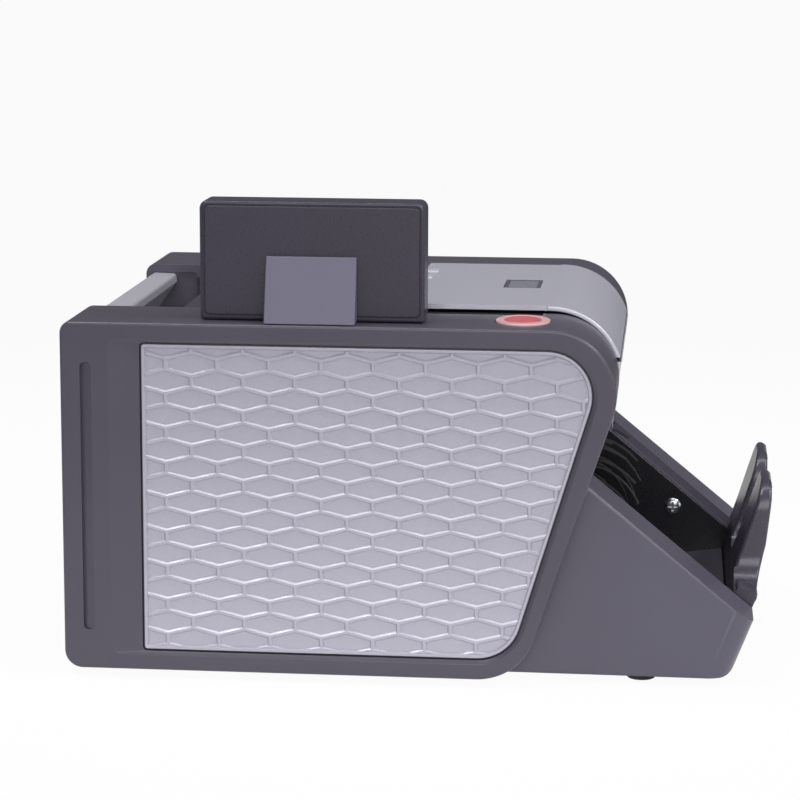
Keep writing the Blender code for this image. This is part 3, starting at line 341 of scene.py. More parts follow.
# %% [markdown]
# ### Moulded plastic
#
# Housings like this are injection moulded ABS. The mould is spark eroded, which leaves a fine matt
# grain that spreads highlights, and the colour is the resin's own, so it hardly varies. The grain is
# a fine noise in the bump. A second, slow noise drifts the tone and the gloss by a few per cent, as
# flow in the mould does. The real grain is about 0.1 mm, too fine for a picture from 1.4 m, so it is
# drawn several times coarser.

# %% Moulded plastic


def moulded_plastic(name, colour, roughness, grain=0.9, depth=0.02, drift=0.05):
    """Resin colour with slow drift, spark-eroded grain of a size and depth in millimetres."""
    material, tree, shader, spot = new_material(name)
    fine = noise(tree, spot, grain, 3.0)
    slow = noise(tree, spot, 70.0, 2.0)
    shift = spread(tree, slow, 1.0 - drift, 1.0 + drift, 0.3, 0.7)
    wire(tree, shader, {"Base Color": blend(tree, 1.0, linear(colour), shift, "MULTIPLY"),
                        "Roughness": spread(tree, fine, roughness - 0.04, roughness + 0.04, 0.3, 0.7),
                        "Normal": bumps(tree, fine, depth), "IOR": 1.53})
    return material


cover_abs = moulded_plastic("moulded ABS, violet grey", "4b4754", 0.34)
display_abs = moulded_plastic("moulded ABS, dark satin", "3a3643", 0.30, depth=0.012)
stacker_abs = moulded_plastic("moulded ABS, stacker grey", "555160", 0.36)
finger_abs = moulded_plastic("moulded ABS, charcoal", "3f3b47", 0.28, depth=0.010)
bracket_abs = moulded_plastic("textured ABS, mid grey", "625f72", 0.50, grain=1.4, depth=0.06, drift=0.03)
lens_abs = moulded_plastic("moulded ABS, lens frame", "55545f", 0.40, depth=0.008)
key_abs = moulded_plastic("key cap ABS, pale grey", "c9c8d0", 0.45, depth=0.008)
# The stacker pocket's near-black sheet is painted shade: it stands in for the shade deep in the pocket.
pocket_shade_black = moulded_plastic("moulded ABS, black, painted pocket shade", "15141a", 0.30, depth=0.006)
black_abs = moulded_plastic("moulded ABS, black", "1b1a1f", 0.45)
hopper_abs = moulded_plastic("moulded ABS, hopper grey", "45414e", 0.40)
print("moulded plastics made")

# %% [markdown]
# ### Silver paint on plastic
#
# The roll-top, the bar and the side inlays are ABS sprayed with a silver paint. Its aluminium flakes
# lie in a thin clear film: from a distance it is a soft, slightly violet grey that is brighter where
# it is seen square on. A low metallic share and a thin coat give that, and a fine cell noise varies
# the gloss as flakes do. Flakes are about 0.05 mm and are drawn at 0.6 mm.

# %% Silver paint


def silver_paint(name, colour, roughness=0.40, metallic=0.25):
    material, tree, shader, spot = new_material(name)
    flake = node(tree, "ShaderNodeTexVoronoi", {"Vector": spot, "Scale": per_mm(0.6)})
    value = node(tree, "ShaderNodeSeparateColor", {"Color": flake.outputs["Color"]}).outputs[0]
    tint = spread(tree, value, 0.97, 1.03)
    wire(tree, shader, {"Base Color": blend(tree, 1.0, linear(colour), tint, "MULTIPLY"),
                        "Roughness": spread(tree, value, roughness - 0.05, roughness + 0.05),
                        "Normal": bumps(tree, noise(tree, spot, 2.5, 1.0), 0.01),
                        "Metallic": metallic, "Coat Weight": 0.15, "Coat Roughness": 0.2})
    return material


inlay_paint = silver_paint("silver paint on ABS, inlay", "b5b2bf", roughness=0.33)
roll_paint = silver_paint("silver paint on ABS, roll-top", "c4c3cf", metallic=0.40)
bar_paint = silver_paint("silver paint on ABS, bar", "c8c6d0", metallic=0.40)
# The rib tops' paler silver is partly painted highlight: it stands in for the light that the ribs' tops
# catch.
rib_highlight_paint = silver_paint("silver paint on ABS, rib tops, paler for painted highlight", "d2d2da")
print("silver paints made")

# %% [markdown]
# ### Metals, rubber, glossy lens, board
#
# The shafts, screws and motor can are zinc plated steel: a bright metal with faint turning marks and
# cloudy patches. The inner plates are powder coated, whose dimpled skin is an orange peel. Rubber is
# dark, matt and slightly dusty. The windows are tinted acrylic, smooth enough to mirror the studio.
# The boards are green solder resist over copper tracks.

# %% Metals, rubber, lens and board


def plated_steel(name, colour, roughness=0.28, marks=0.8):
    material, tree, shader, spot = new_material(name)
    stretch = node(tree, "ShaderNodeMapping", {"Vector": spot, "Scale": (12.0, 1.0, 1.0)})
    turning = noise(tree, stretch.outputs["Vector"], marks * 12.0, 4.0)
    cloud = noise(tree, spot, 9.0, 2.0)
    wire(tree, shader, {"Base Color": linear(colour), "Metallic": 1.0,
                        "Roughness": spread(tree, cloud, roughness - 0.06, roughness + 0.10, 0.3, 0.7),
                        "Normal": bumps(tree, turning, 0.01, 0.6)})
    return material


def powder_coat(name, colour):
    material, tree, shader, spot = new_material(name)
    peel = node(tree, "ShaderNodeTexVoronoi", {"Vector": spot, "Scale": per_mm(1.6)},
                feature="SMOOTH_F1")
    wire(tree, shader, {"Base Color": linear(colour), "Roughness": 0.5,
                        "Normal": bumps(tree, peel.outputs["Distance"], 0.03, 0.8)})
    return material


def moulded_rubber(name, colour, roughness=0.75, dust=0.12):
    material, tree, shader, spot = new_material(name)
    share = spread(tree, noise(tree, spot, 14.0, 3.0), 0.0, dust, 0.45, 0.75)
    wire(tree, shader, {"Base Color": blend(tree, share, linear(colour), linear("8a8880")),
                        "Roughness": roughness,
                        "Normal": bumps(tree, noise(tree, spot, 0.7, 4.0), 0.03)})
    return material


def tinted_lens(name, colour, roughness=0.08):
    material, tree, shader, spot = new_material(name)
    haze = noise(tree, spot, 6.0, 4.0)
    wire(tree, shader, {"Base Color": linear(colour), "IOR": 1.49,
                        "Roughness": spread(tree, haze, roughness, roughness + 0.08, 0.35, 0.7)})
    return material


def printed_board(name):
    material, tree, shader, spot = new_material(name)
    track = node(tree, "ShaderNodeTexBrick",
                 {"Vector": spot, "Scale": per_mm(6.0), "Color1": linear("1d5c39"),
                  "Color2": linear("236b43"), "Mortar": linear("2f8052"), "Mortar Size": 0.06,
                  "Brick Width": 1.6, "Row Height": 0.5})
    wire(tree, shader, {"Base Color": track.outputs["Color"], "Roughness": 0.35,
                        "Normal": bumps(tree, track.outputs["Fac"], 0.035)})
    return material


zinc_steel = plated_steel("zinc plated steel", "b9bbbf")
motor_steel = plated_steel("zinc plated steel, motor can", "a6a8ad", roughness=0.34)
core_steel = plated_steel("varnished steel laminations", "5d5148", roughness=0.45, marks=0.5)
coated_sheet = powder_coat("powder coated sheet steel", "2c2b31")
roller_rubber = moulded_rubber("roller rubber, black", "1d1d20")
blade_rubber = moulded_rubber("blade rubber, black", "16151a", roughness=0.38, dust=0.03)
belt_rubber = moulded_rubber("belt rubber, black", "202022", roughness=0.65)
screen_acrylic = tinted_lens("tinted acrylic, dark", "1f2026")
count_acrylic = tinted_lens("tinted acrylic, grey", "83838e", roughness=0.16)
badge_red = tinted_lens("cast resin, red", "d4606b", roughness=0.15)
badge_ring = tinted_lens("cast resin, pale rose", "d9abac", roughness=0.20)
board_green = printed_board("solder resist, green")
print(len(bpy.data.materials), "materials in the file")

# %% [markdown]
# ## Side covers
#
# Each side cover is one hollow moulding. Seen from the side it is a rectangle whose front leans
# forward, with a large radius at the top front and another at the bottom front. Its rim has a small
# radius that catches the light as a thin bright line, so the edge gets a fine five-step bevel rather
# than a sharp corner. The panel's field is sunk in a slope, like a tray, and a finger groove runs down
# near the rear.

# %% Side cover sizes
SKIN = 2.5
FACE_SKIN = 6.0
COVER = {"rear": 0.0, "low": 0.0, "high": 175.0, "foot": 227.6,
         "lean": math.tan(math.radians(18.2)), "radii": (9.0, 30.0, 32.5, 6.0)}
INLAY = {"rear": 40.3, "low": 10.5, "high": 164.2, "foot": 219.0,
         "lean": math.tan(math.radians(16.8)), "radii": (1.5, 22.0, 22.0, 1.5)}


def leaning_line(sizes, grow=0.0, rear=None):
    """Corners and radii of an outline whose front leans forward, moved out by a margin."""
    low, high, lean = sizes["low"] - grow, sizes["high"] + grow, sizes["lean"]
    foot = sizes["foot"] + grow * math.sqrt(1 + lean * lean)
    back = sizes["rear"] - grow if rear is None else rear
    corners = [(back, low), (foot + low * lean, low), (foot + high * lean, high), (back, high)]
    return corners, [max(r + grow, 0.3) for r in sizes["radii"]]


cover_line = partial(leaning_line, COVER)
inlay_line = partial(leaning_line, INLAY)
print("cover corners:", [tuple(round(c, 1) for c in p) for p in cover_line()[0]])

# %% Side cover shape


def tray(side, rings):
    """A tool through outlines of equal steps, each (corners, radii) at a depth from the outer face."""
    bm = bmesh.new()
    faces = [outline_face(bm, "across", *line, side * (HALF_WIDTH - depth), steps=10)
             for line, depth in rings]
    loops = [list(f.edges) for f in faces]
    bmesh.ops.delete(bm, geom=faces[1:-1], context="FACES_ONLY")
    for near, far in zip(loops, loops[1:]):
        bmesh.ops.bridge_loops(bm, edges=near + far)
    bmesh.ops.recalc_face_normals(bm, faces=bm.faces)
    return bm


def finger_groove(side):
    """A shallow groove, deepest at its rear edge and flush at its front edge."""
    bm = box("across", (10.0, 15.5), (20.0, 155.0), side * (HALF_WIDTH + 2), side * (HALF_WIDTH - 1.8),
             radius=2.4, steps=6)
    inner = [v for v in bm.verts if abs(v.co.x) < HALF_WIDTH * MM]
    for v in inner:
        across_share = (REAR_Y - v.co.y / MM - 10.0) / 5.5
        v.co.x += side * 1.7 * MM * max(across_share, 0.0)
    return bm


def side_cover(name):
    side = SIDES[name]
    bm = slab("across", *cover_line(), side * HALF_WIDTH, side * WELL_HALF, steps=18)
    round_edges(bm, 1.6, 5, pick=in_plane("x", side * HALF_WIDTH))
    round_edges(bm, 0.7, 2, pick=in_plane("x", side * WELL_HALF))
    cover = new_object(bm, f"dressed_cover_{name}")
    carve(cover, slab("across", *cover_line(-SKIN), side * (HALF_WIDTH - FACE_SKIN),
                      side * (WELL_HALF + SKIN), steps=10))
    opening = cover_line(-7.0, rear=29.0)
    opening[1][3] = 10.0
    carve(cover, slab("across", *opening, side * (WELL_HALF + SKIN + 2), side * (WELL_HALF - 2)))
    field = inlay_line(3.0, rear=23.5)
    lip = inlay_line(2.3, rear=24.2)
    seat = inlay_line(0.9)
    carve(cover, tray(side, [(field, -1.0), (field, 0.0), (lip, 0.35), (seat, 1.6), (seat, 4.3)]))
    carve(cover, finger_groove(side))
    carve(cover, box("upright", (side * (WELL_HALF + 8), side * (WELL_HALF - 2)), (163.0, 234.5), 173.0,
                     177.0))
    carve(cover, box("across", (2.8, 29.5), (150.1, 170.4), side * (WELL_HALF + 1.5),
                     side * (WELL_HALF - 2), radius=2.0))
    return cover


covers = {name: side_cover(name) for name in SIDES}

# %% [markdown]
# The left cover also carries the oval badge, in a shallow seat near its top front corner. The badge
# shows no sign: it is a plain red lens in a paler ring.

# %% Badge
BADGE = (-112.5, 225.7)


def oval(half_x, half_ahead, low, high, steps=48):
    bm = bmesh.new()
    made = bmesh.ops.create_circle(bm, segments=steps, radius=1.0, cap_ends=True)
    bmesh.ops.scale(bm, vec=(half_x * MM, half_ahead * MM, 1.0), verts=made["verts"])
    bmesh.ops.translate(bm, vec=place(*BADGE, low), verts=made["verts"])
    grown = bmesh.ops.extrude_face_region(bm, geom=bm.faces[:])
    rise = Vector((0.0, 0.0, (high - low) * MM))
    bmesh.ops.translate(bm, vec=rise, verts=new_verts(grown))
    bmesh.ops.recalc_face_normals(bm, faces=bm.faces)
    return bm


carve(covers["left"], oval(16.9, 13.9, 174.0, 177.0))
ring = round_edges(oval(16.5, 13.5, 174.3, 175.9), 0.5, 3)
ring = new_object(ring, "badge_ring")
carve(ring, oval(11.6, 9.4, 175.5, 177.0))
finish(ring, badge_ring, "red", stands_for=("top_badge",))
lens = round_edges(oval(11.2, 9.0, 175.45, 176.1), 0.4, 3)
make(lens, "badge_lens", badge_red, "red")
for name, cover in covers.items():
    finish(cover, cover_abs, "cover", stands_for=(f"side_cover_{name}",))

# %% [markdown]
# ## Honeycomb inlays
#
# The inlay is a thin panel with a low border and a stretched honeycomb in relief. A bump map would
# only shade it, and the ridges have a real height, so they are modelled. One hexagon is duplicated
# over the panel, the field is trimmed by a plane along each side of the outline, and every cell is
# inset twice: first to leave the flat top of the ridge, then downwards for its sloping flank. A cell
# that the border cuts is treated in the same way, so the pattern meets the frame as it does on the
# real panel.

# %% Honeycomb
CELL_PITCH = 25.6
ROW_PITCH = 8.67
CELL_UPRIGHT = 5.3
CELL_FIRST = (52.1 - 12.8, 154.5)
RIDGE_HALF = 0.60
FLANK = 0.80
RIDGE_HEIGHT = 0.95


def one_cell(bm, side, centre, level):
    """A hexagon from the circle operator, stretched to the cell's width and height."""
    for v in bmesh.ops.create_circle(bm, segments=6, radius=1.0, cap_ends=True)["verts"]:
        tip = abs(v.co.x) < 0.1
        along = 0.0 if tip else math.copysign(CELL_PITCH / 2, v.co.x)
        reach = CELL_UPRIGHT / 2 + (ROW_PITCH - CELL_UPRIGHT if tip else 0.0)
        v.co = place(side * (HALF_WIDTH - level), centre[0] + along,
                     centre[1] + math.copysign(reach, v.co.y))


def relief_sheet(side, level):
    """Sunk cells between ridges, trimmed along the sides of the inlay's inner outline."""
    bm = bmesh.new()
    for row in range(-2, 20):
        height = CELL_FIRST[1] - row * ROW_PITCH
        shift = CELL_PITCH / 2 if row % 2 else 0.0
        for column in range(-1, 10):
            one_cell(bm, side, (CELL_FIRST[0] + shift + column * CELL_PITCH, height), level)
    bmesh.ops.remove_doubles(bm, verts=bm.verts, dist=0.00002)
    for f in bm.faces:
        if f.normal.x * side < 0:
            f.normal_flip()
    cells = bm.faces[:]
    bmesh.ops.inset_individual(bm, faces=cells, thickness=RIDGE_HALF * MM, use_even_offset=True)
    bmesh.ops.inset_individual(bm, faces=cells, thickness=FLANK * MM, depth=-RIDGE_HEIGHT * MM,
                               use_even_offset=True)
    rim = bmesh.new()
    face = outline_face(rim, "across", *inlay_line(-1.9), side * (HALF_WIDTH - level), steps=8)
    middle = face.calc_center_median()
    for edge in face.edges:
        a, b = (v.co.copy() for v in edge.verts)
        outward = (b - a).cross(Vector((1, 0, 0))).normalized()
        outward *= math.copysign(1.0, outward.dot(a - middle))
        bmesh.ops.bisect_plane(bm, geom=everything(bm), dist=1e-7,
                               plane_co=a, plane_no=outward, clear_outer=True)
    rim.free()
    return bm


def inlay(name):
    side = SIDES[name]
    bm = slab("across", *inlay_line(-0.05), side * (HALF_WIDTH - 1.5), side * (HALF_WIDTH - 4.0),
              steps=14)
    round_edges(bm, 0.5, 3, pick=in_plane("x", side * (HALF_WIDTH - 1.5)))
    panel = new_object(bm, f"dressed_inlay_{name}")
    carve(panel, tray(side, [(inlay_line(-1.3), 0.5), (inlay_line(-1.45), 1.5),
                             (inlay_line(-2.0), 2.4), (inlay_line(-2.0), 3.2)]))
    sheet = relief_sheet(side, 1.95)
    skirt = bmesh.ops.extrude_edge_only(sheet, edges=[e for e in sheet.edges if e.is_boundary])
    for v in new_verts(skirt):
        v.co.x = side * (HALF_WIDTH - 3.4) * MM
    bmesh.ops.contextual_create(sheet, geom=[e for e in sheet.edges if e.is_boundary])
    relief = new_object(sheet, "relief")
    both = bmesh.new()
    both.from_mesh(panel.data)
    both.from_mesh(relief.data)
    both.to_mesh(panel.data)
    both.free()
    bpy.data.objects.remove(relief)
    return finish(panel, inlay_paint, "inlay", stands_for=(f"inlay_{name}",), sharp_angle=24.0)


for name in SIDES:
    inlay(name)

# %% [markdown]
# ## Turned pieces
#
# Rollers, screws and the knob are turned: a half section goes once round a line. In a lathe the
# section is the tool's path; here the spin operator carries it round and merges the last ring with
# the first.

# %% Turned
WAYS = {"across": ((1, 0, 0), (0, 0, 1)), "up": ((0, 0, 1), (0, 1, 0)), "back": ((0, 1, 0), (0, 0, 1))}


def turned(profile, spot, way="across", steps=48, closed=False):
    """Spin a section of (along, radius) points, in millimetres, about a line through a place."""
    along, out = (Vector(v) * MM for v in WAYS[way])
    bm = bmesh.new()
    verts = [bm.verts.new(spot + along * a + out * r) for a, r in profile]
    ring = verts + verts[:1] if closed else verts
    edges = [bm.edges.new(pair) for pair in zip(ring, ring[1:])]
    bmesh.ops.spin(bm, geom=verts + edges, cent=spot, axis=along.normalized(), angle=2 * math.pi,
                   steps=steps, use_merge=True, use_duplicate=False)
    return bm


def add_to(bm, other):
    """Put a second bmesh into the first, as a loose part of the same piece."""
    mesh = bpy.data.meshes.new("part")
    other.to_mesh(mesh)
    other.free()
    bm.from_mesh(mesh)
    bpy.data.meshes.remove(mesh)
    return bm


# %% [markdown]
# ## Roll-top, bar and the gap between
#
# The silver roll-top is one bent shell: flat over the machine, then down over the front in a 37 mm
# roll that stops above the keys. The keys look out of a darker panel set back behind it, and a lens
# over the count sensor lies in its top. A gap runs along both sides as far as the bend, and a black
# strip at its bottom is painted shade, standing in for the shade inside the gap. The bar behind the
# hopper is a hand grip with a D section, so fingers close round its sloping underside.

# %% Roll-top
SPAN_HALF = 83.7
ROLL_TOP = 178.4
ROLL_REAR = 163.0
ROLL_REACH = 275.04
ROLL_END = 150.8
PANEL_AHEAD = (267.04, 269.54)
KEY_PLACES = (-50, -25, 0, 25, 50)
LENS_AHEAD = (210.0, 229.0)

shell = slab("across",
             [(ROLL_REAR, ROLL_TOP), (ROLL_REACH, ROLL_TOP), (ROLL_REACH, 130.0),
              (ROLL_REACH - 2.5, 130.0), (ROLL_REACH - 2.5, ROLL_TOP - 2.5),
              (ROLL_REAR, ROLL_TOP - 2.5)],
             [0, 37.0, 0, 0, 34.5, 0], -SPAN_HALF, SPAN_HALF, steps=32)
bmesh.ops.bisect_plane(shell, geom=everything(shell), dist=1e-7,
                       plane_co=place(0, 0, ROLL_END), plane_no=(0, 0, -1), clear_outer=True)
bmesh.ops.contextual_create(shell, geom=[e for e in shell.edges if e.is_boundary])
for wall in (-SPAN_HALF, SPAN_HALF):
    round_edges(shell, 0.8, 3, pick=in_plane("x", wall))
roll_top = new_object(shell, "dressed_roll_top")
carve(roll_top, box("upright", (-16.3, 16.3), (LENS_AHEAD[0] - 0.3, LENS_AHEAD[1] + 0.3), 174.0,
                    181.0, radius=1.0))
# The black strip at the bottom of each side gap is painted shade: it stands in for the shade inside the gap.
gap_shade_strip = bmesh.new()
for side in SIDES.values():
    edge = side * (WELL_HALF + 0.5)
    carve(roll_top, slab("across", [(162.0, 172.0), (232.0, 172.0), (236.5, 177.5), (236.5, 180.0),
                                    (162.0, 180.0)], [0] * 5, edge, side * (SPAN_HALF - 3.0)))
    add_to(gap_shade_strip, box("across", (163.5, 236.0), (172.6, 174.2), side * (SPAN_HALF - 3.6),
                      side * (SPAN_HALF - 0.1)))
finish(roll_top, roll_paint, "silver", stands_for=("front_cover",))
make(gap_shade_strip, "seam_shade_strip", black_abs, "black")

key_panel = new_object(box("across", PANEL_AHEAD, (116.0, 153.3), -SPAN_HALF, SPAN_HALF), "key_panel")
carve(key_panel, box("across", (PANEL_AHEAD[0], 273.4), (150.9, 153.3), -SPAN_HALF, SPAN_HALF), "UNION")
for x in KEY_PLACES:
    carve(key_panel, box("along", (x - 9.3, x + 9.3), (126.2, 135.8), 262.0, 280.0, radius=1.5))
finish(key_panel, cover_abs, "cover")

frame_of_lens = round_edges(box("upright", (-16, 16), LENS_AHEAD, 175.9, 178.3, radius=0.8), 0.3, 2,
                            pick=lambda e: all(v.co.z > (FLOOR_Z + 178) * MM for v in e.verts))
lens_frame = new_object(frame_of_lens, "dressed_count_window")
carve(lens_frame, box("upright", (-14.4, 14.4), (LENS_AHEAD[0] + 1.6, LENS_AHEAD[1] - 1.6), 177.6, 180.0,
                      radius=0.5))
finish(lens_frame, lens_abs, "window", stands_for=("count_window",))
lens = box("upright", (-14.2, 14.2), (LENS_AHEAD[0] + 1.8, LENS_AHEAD[1] - 1.8), 177.5, 178.0, radius=0.4)
finish(new_object(round_edges(lens, 0.15, 2), "count_lens"), count_acrylic, "window")

# The ribs are raised in a paler silver, which is partly painted highlight on their tops.
ribs = bmesh.new()
for x, width, length in ((45, 8, 7.0), (20, 7, 5.5), (3, 5, 4.3), (-15, 5, 3.3)):
    rib = box("upright", (x - width / 2, x + width / 2), (163.6, 163.6 + length), 178.2, 178.9, radius=0.6)
    add_to(ribs, round_edges(rib, 0.25, 2, pick=lambda e: all(v.co.z > 0.1828 for v in e.verts)))
make(ribs, "grip_ribs", rib_highlight_paint, "silver")

# %% Bar
BAR_SECTION = [(3.2, 150.5), (3.2, 170.0), (17.2, 169.6), (17.6, 164.6), (16.0, 162.6), (7.4, 150.5)]
bar = slab("across", BAR_SECTION, [1.2, 2.6, 2.2, 1.0, 3.0, 1.5], -85.2, 85.2, steps=8)
make(bar, "dressed_bar", bar_paint, "silver", stands_for=("handle_bar",))

# %% [markdown]
# ## Customer display
#
# A second read-out for the customer stands on the left cover. Its case is a box with small radii, a
# groove round its back, and a bottom corner rounded about the hinge pin so it can fold. Bevels in
# order of size make such a box: the largest corners first, then the hinge's round, then the fine edge
# all round.

# %% Display case
DISPLAY_X = (-128.0, -108.0)
DISPLAY_AHEAD = (68.0, 178.5)
DISPLAY_HIGH = (175.5, 234.0)
EARS = (105.0, 141.5)


case = box("across", DISPLAY_AHEAD, DISPLAY_HIGH, *DISPLAY_X)
top_z, low_z = FLOOR_Z + DISPLAY_HIGH[1], FLOOR_Z + DISPLAY_HIGH[0]
rear_y, front_y = (REAR_Y - a for a in DISPLAY_AHEAD)
bevel(case, edges_at(case, y=rear_y, z=top_z) + edges_at(case, y=front_y, z=top_z), 4.0, 6)
bevel(case, edges_at(case, x=DISPLAY_X[1], z=low_z), 4.0, 8)
round_edges(case, 1.3, 3)
display = new_object(case, "dressed_display")


def inside(span, margin):
    return span[0] + margin, span[1] - margin


PIN_AT = (-112.0, 50.0, 179.5)
PIN_BORE = 2.3


def pin_bore(first, last):
    """A round tool on the hinge pin's line, between two distances ahead of PIN_AT."""
    return turned([(-first, 0), (-first, PIN_BORE), (-last, PIN_BORE), (-last, 0)], place(*PIN_AT),
                  way="back", steps=24)


back_x = DISPLAY_X[0]
carve(display, box("across", inside(DISPLAY_AHEAD, 1.5), inside(DISPLAY_HIGH, 1.5), back_x - 1.0,
                   back_x + 0.8, radius=3.0))
plate = box("across", inside(DISPLAY_AHEAD, 2.3), inside(DISPLAY_HIGH, 2.3), back_x, back_x + 1.5,
            radius=2.4)
carve(display, round_edges(plate, 0.7, 3, pick=lambda e: all(v.co.x < (back_x + 0.1) * MM for v in e.verts)),
      "UNION")
carve(display, box("across", (74.0, 172.5), (185.5, 228.0), -119.0, -104.0, radius=2.0))
for ear in EARS:
    carve(display, box("across", (ear - 3.1, ear + 3.1), (170.0, 183.9), -131.0, -104.0))
carve(display, pin_bore(49.2, 96.0))
finish(display, display_abs, "display", body="display", stands_for=("display_shell",))

screen = round_edges(box("across", (74.3, 172.2), (185.8, 227.7), -110.4, -108.4, radius=1.7), 0.3, 2)
make(screen, "dressed_screen", screen_acrylic, "window", body="display", stands_for=("display_screen",))

# %% Bracket
wedge = slab("along", [(-139.25, 175.3), (-128.6, 175.3), (-128.6, 207.3), (-130.1, 207.3)],
             [0, 0, 0, 0], 101.0, 145.5)
round_edges(wedge, 0.6, 3)
bracket = new_object(wedge, "dressed_bracket")
for ear in EARS:
    carve(bracket, slab("along", [(-131.0, 175.4), (-108.3, 175.4), (-108.3, 183.2), (-131.0, 183.2)],
                        [0, 3.7, 3.7, 0], ear - 2.5, ear + 2.5), "UNION")
carve(bracket, pin_bore(50.0, 97.0))
finish(bracket, bracket_abs, "bracket", stands_for=("display_bracket",))

# %% [markdown]
# ## Stacker
#
# The counted notes land in a pocket between two hollow wedges and lean against two fingers. The
# wedges' slanted edges are rounded, and in the studio they show as the brightest lines of the machine.
# Their inner walls carry a black sheet, set a little below the top edge, which is painted shade: it stands
# in for the shade deep in the pocket.
# The fingers are thick ribs with round ends that flow into the front wall in a wide fillet. Their
# front view is one outline; its sections are then set by height, from a table read off the photograph.

# %% Stacker sides
SIDE_CORNERS = [(216.0, 0.0), (331.0, 0.0), (341.7, 27.6), (259.0, 95.5)]
SIDE_OUT, SIDE_IN = 124.5, 87.0
SCREW_AT = (300.9, 41.1)


def through_side(side, line):
    """A tool with an outline of corners and radii, right through one stacker side."""
    return slab("across", *line, side * 150, side * 80, steps=18)


def stacker_side(name):
    """A hollow wedge, with its front edge, then its rim rounded, and its toe cut round."""
    side = SIDES[name]
    outer, inner = side * SIDE_OUT, side * SIDE_IN
    bm = slab("across", SIDE_CORNERS, [0] * 4, outer, inner)
    nose = [e for e in edges_at(bm, x=outer)
            if all(v.co.y < (REAR_Y - 330.9) * MM and v.co.z < (FLOOR_Z + 27.7) * MM for v in e.verts)]
    bevel(bm, nose, 12.0, 8)
    round_edges(bm, 1.8, 5, pick=in_plane("x", outer, 0.05))
    wedge = new_object(bm, f"dressed_stacker_side_{name}")
    toe = [(190.0, -0.02), (331.02, -0.02), (354.3, 60.0), (190.0, 200.0)]
    carve(wedge, slab("across", toe, [0, 8.0, 0, 0], side * 150, side * 80), "INTERSECT")
    carve(wedge, through_side(side, cover_line(0.3)))
    hollow = [(200.0, 3.0), (326.0, 3.0), (335.0, 26.5), (258.5, 90.0), (200.0, 90.0)]
    carve(wedge, slab("across", hollow, [0] * 5, side * (SIDE_OUT - 3), side * (SIDE_IN + 3)))
    lip = [(240.0, 105.6), (341.0, 22.7), (352.0, 28.2), (240.0, 125.0)]
    carve(wedge, slab("across", lip, [0] * 4, side * (SIDE_IN - 4), side * (SIDE_IN + 2.4)))
    carve(wedge, turned([(-9, 0), (-9, 2.3), (9, 2.3), (9, 0)], place(inner, *SCREW_AT), steps=16))
    finish(wedge, stacker_abs, "cover", stands_for=(f"stacker_side_{name}",))


def cross_recess(screws, lay, spot, reach, half, start, end):
    """Cut two crossed slots into a screw head."""
    for a, b in ((reach, half), (half, reach)):
        carve(screws, box(lay, (spot[0] - a, spot[0] + a), (spot[1] - b, spot[1] + b), start, end))


def stacker_screw(name):
    """A domed screw with a cross recess, its head towards the pocket."""
    side = SIDES[name]
    section = [(7.0, 0), (7.0, 2.0), (0.3, 2.0), (0.3, 5.0), (-0.5, 5.0), (-1.5, 4.3), (-2.1, 3.2),
               (-2.4, 1.6), (-2.4, 0)]
    head = turned([(side * a, r) for a, r in section], place(side * SIDE_IN, *SCREW_AT), steps=32)
    screw = new_object(head, f"dressed_stacker_screw_{name}")
    cross_recess(screw, "across", SCREW_AT, 2.7, 0.6, side * (SIDE_IN - 1.2), side * (SIDE_IN - 6))
    finish(screw, zinc_steel, "steel", stands_for=(f"stacker_screw_{name}",))


# Each pocket wall carries a near-black sheet, which is painted shade: it stands in for the shade deep in the
# pocket.
def pocket_shade_sheet(name):
    side = SIDES[name]
    line = [(229.0, 3.0), (329.5, 3.0), (337.6, 24.0), (256.5, 91.0), (229.0, 91.0)]
    sheet = slab("across", line, [0, 1.0, 3.0, 3.0, 0], side * (SIDE_IN + 0.2), side * (SIDE_IN - 0.9))
    shade_piece = new_object(round_edges(sheet, 0.4, 3), f"pocket_shade_sheet_{name}")
    carve(shade_piece, through_side(side, cover_line(0.4)))
    finish(shade_piece, pocket_shade_black, "black")


for name in SIDES:
    stacker_side(name)
    stacker_screw(name)
    pocket_shade_sheet(name)

# %% Stop plate and fingers
REAR_TABLE = ((28, 332.0), (41.8, 332.8), (53.7, 336.7), (76.2, 343.6), (87, 346.2))
FRONT_TABLE = ((28, 343.4), (33.6, 344.3), (54, 348.8), (77, 351.2), (83, 351.2), (85.5, 350.4), (87, 349.2))
HALF_GAP, HALF_SPAN, FINGER_TOP = 14.0, 61.0, 87.0


def read_table(table, height):
    """The place at a height, by straight lines between a table's rows of (height, place)."""
    for (h0, a0), (h1, a1) in zip(table, table[1:]):
        if height <= h1 + 1e-4:
            return a0 + (a1 - a0) * max(height - h0, 0) / (h1 - h0)
    return table[-1][1]


TONGUES = [(-86.4, 30), (-86.4, 35), (-HALF_SPAN, 35), (-HALF_SPAN, FINGER_TOP), (-HALF_GAP, FINGER_TOP),
           (-HALF_GAP, 38), (HALF_GAP, 38), (HALF_GAP, FINGER_TOP), (HALF_SPAN, FINGER_TOP),
           (HALF_SPAN, 35), (86.4, 35), (86.4, 30)]
bm = bmesh.new()
outline_face(bm, "along", TONGUES, [0, 0, 14, 17, 17, 12, 12, 17, 17, 14, 0, 0], 340.0, steps=14)
for height in (33.6, 42.0, 46.7, 53.7, 60, 68, 76.5, 79.8, 82.65, 84.85):
    bmesh.ops.bisect_plane(bm, geom=everything(bm), dist=1e-6,
                           plane_co=place(0, 0, height), plane_no=(0, 0, 1))
grown = bmesh.ops.extrude_face_region(bm, geom=bm.faces[:])
front = set(new_verts(grown))
for v in bm.verts:
    height = v.co.z / MM - FLOOR_Z
    v.co.y = (REAR_Y - read_table(FRONT_TABLE if v in front else REAR_TABLE, height)) * MM
bmesh.ops.recalc_face_normals(bm, faces=bm.faces)
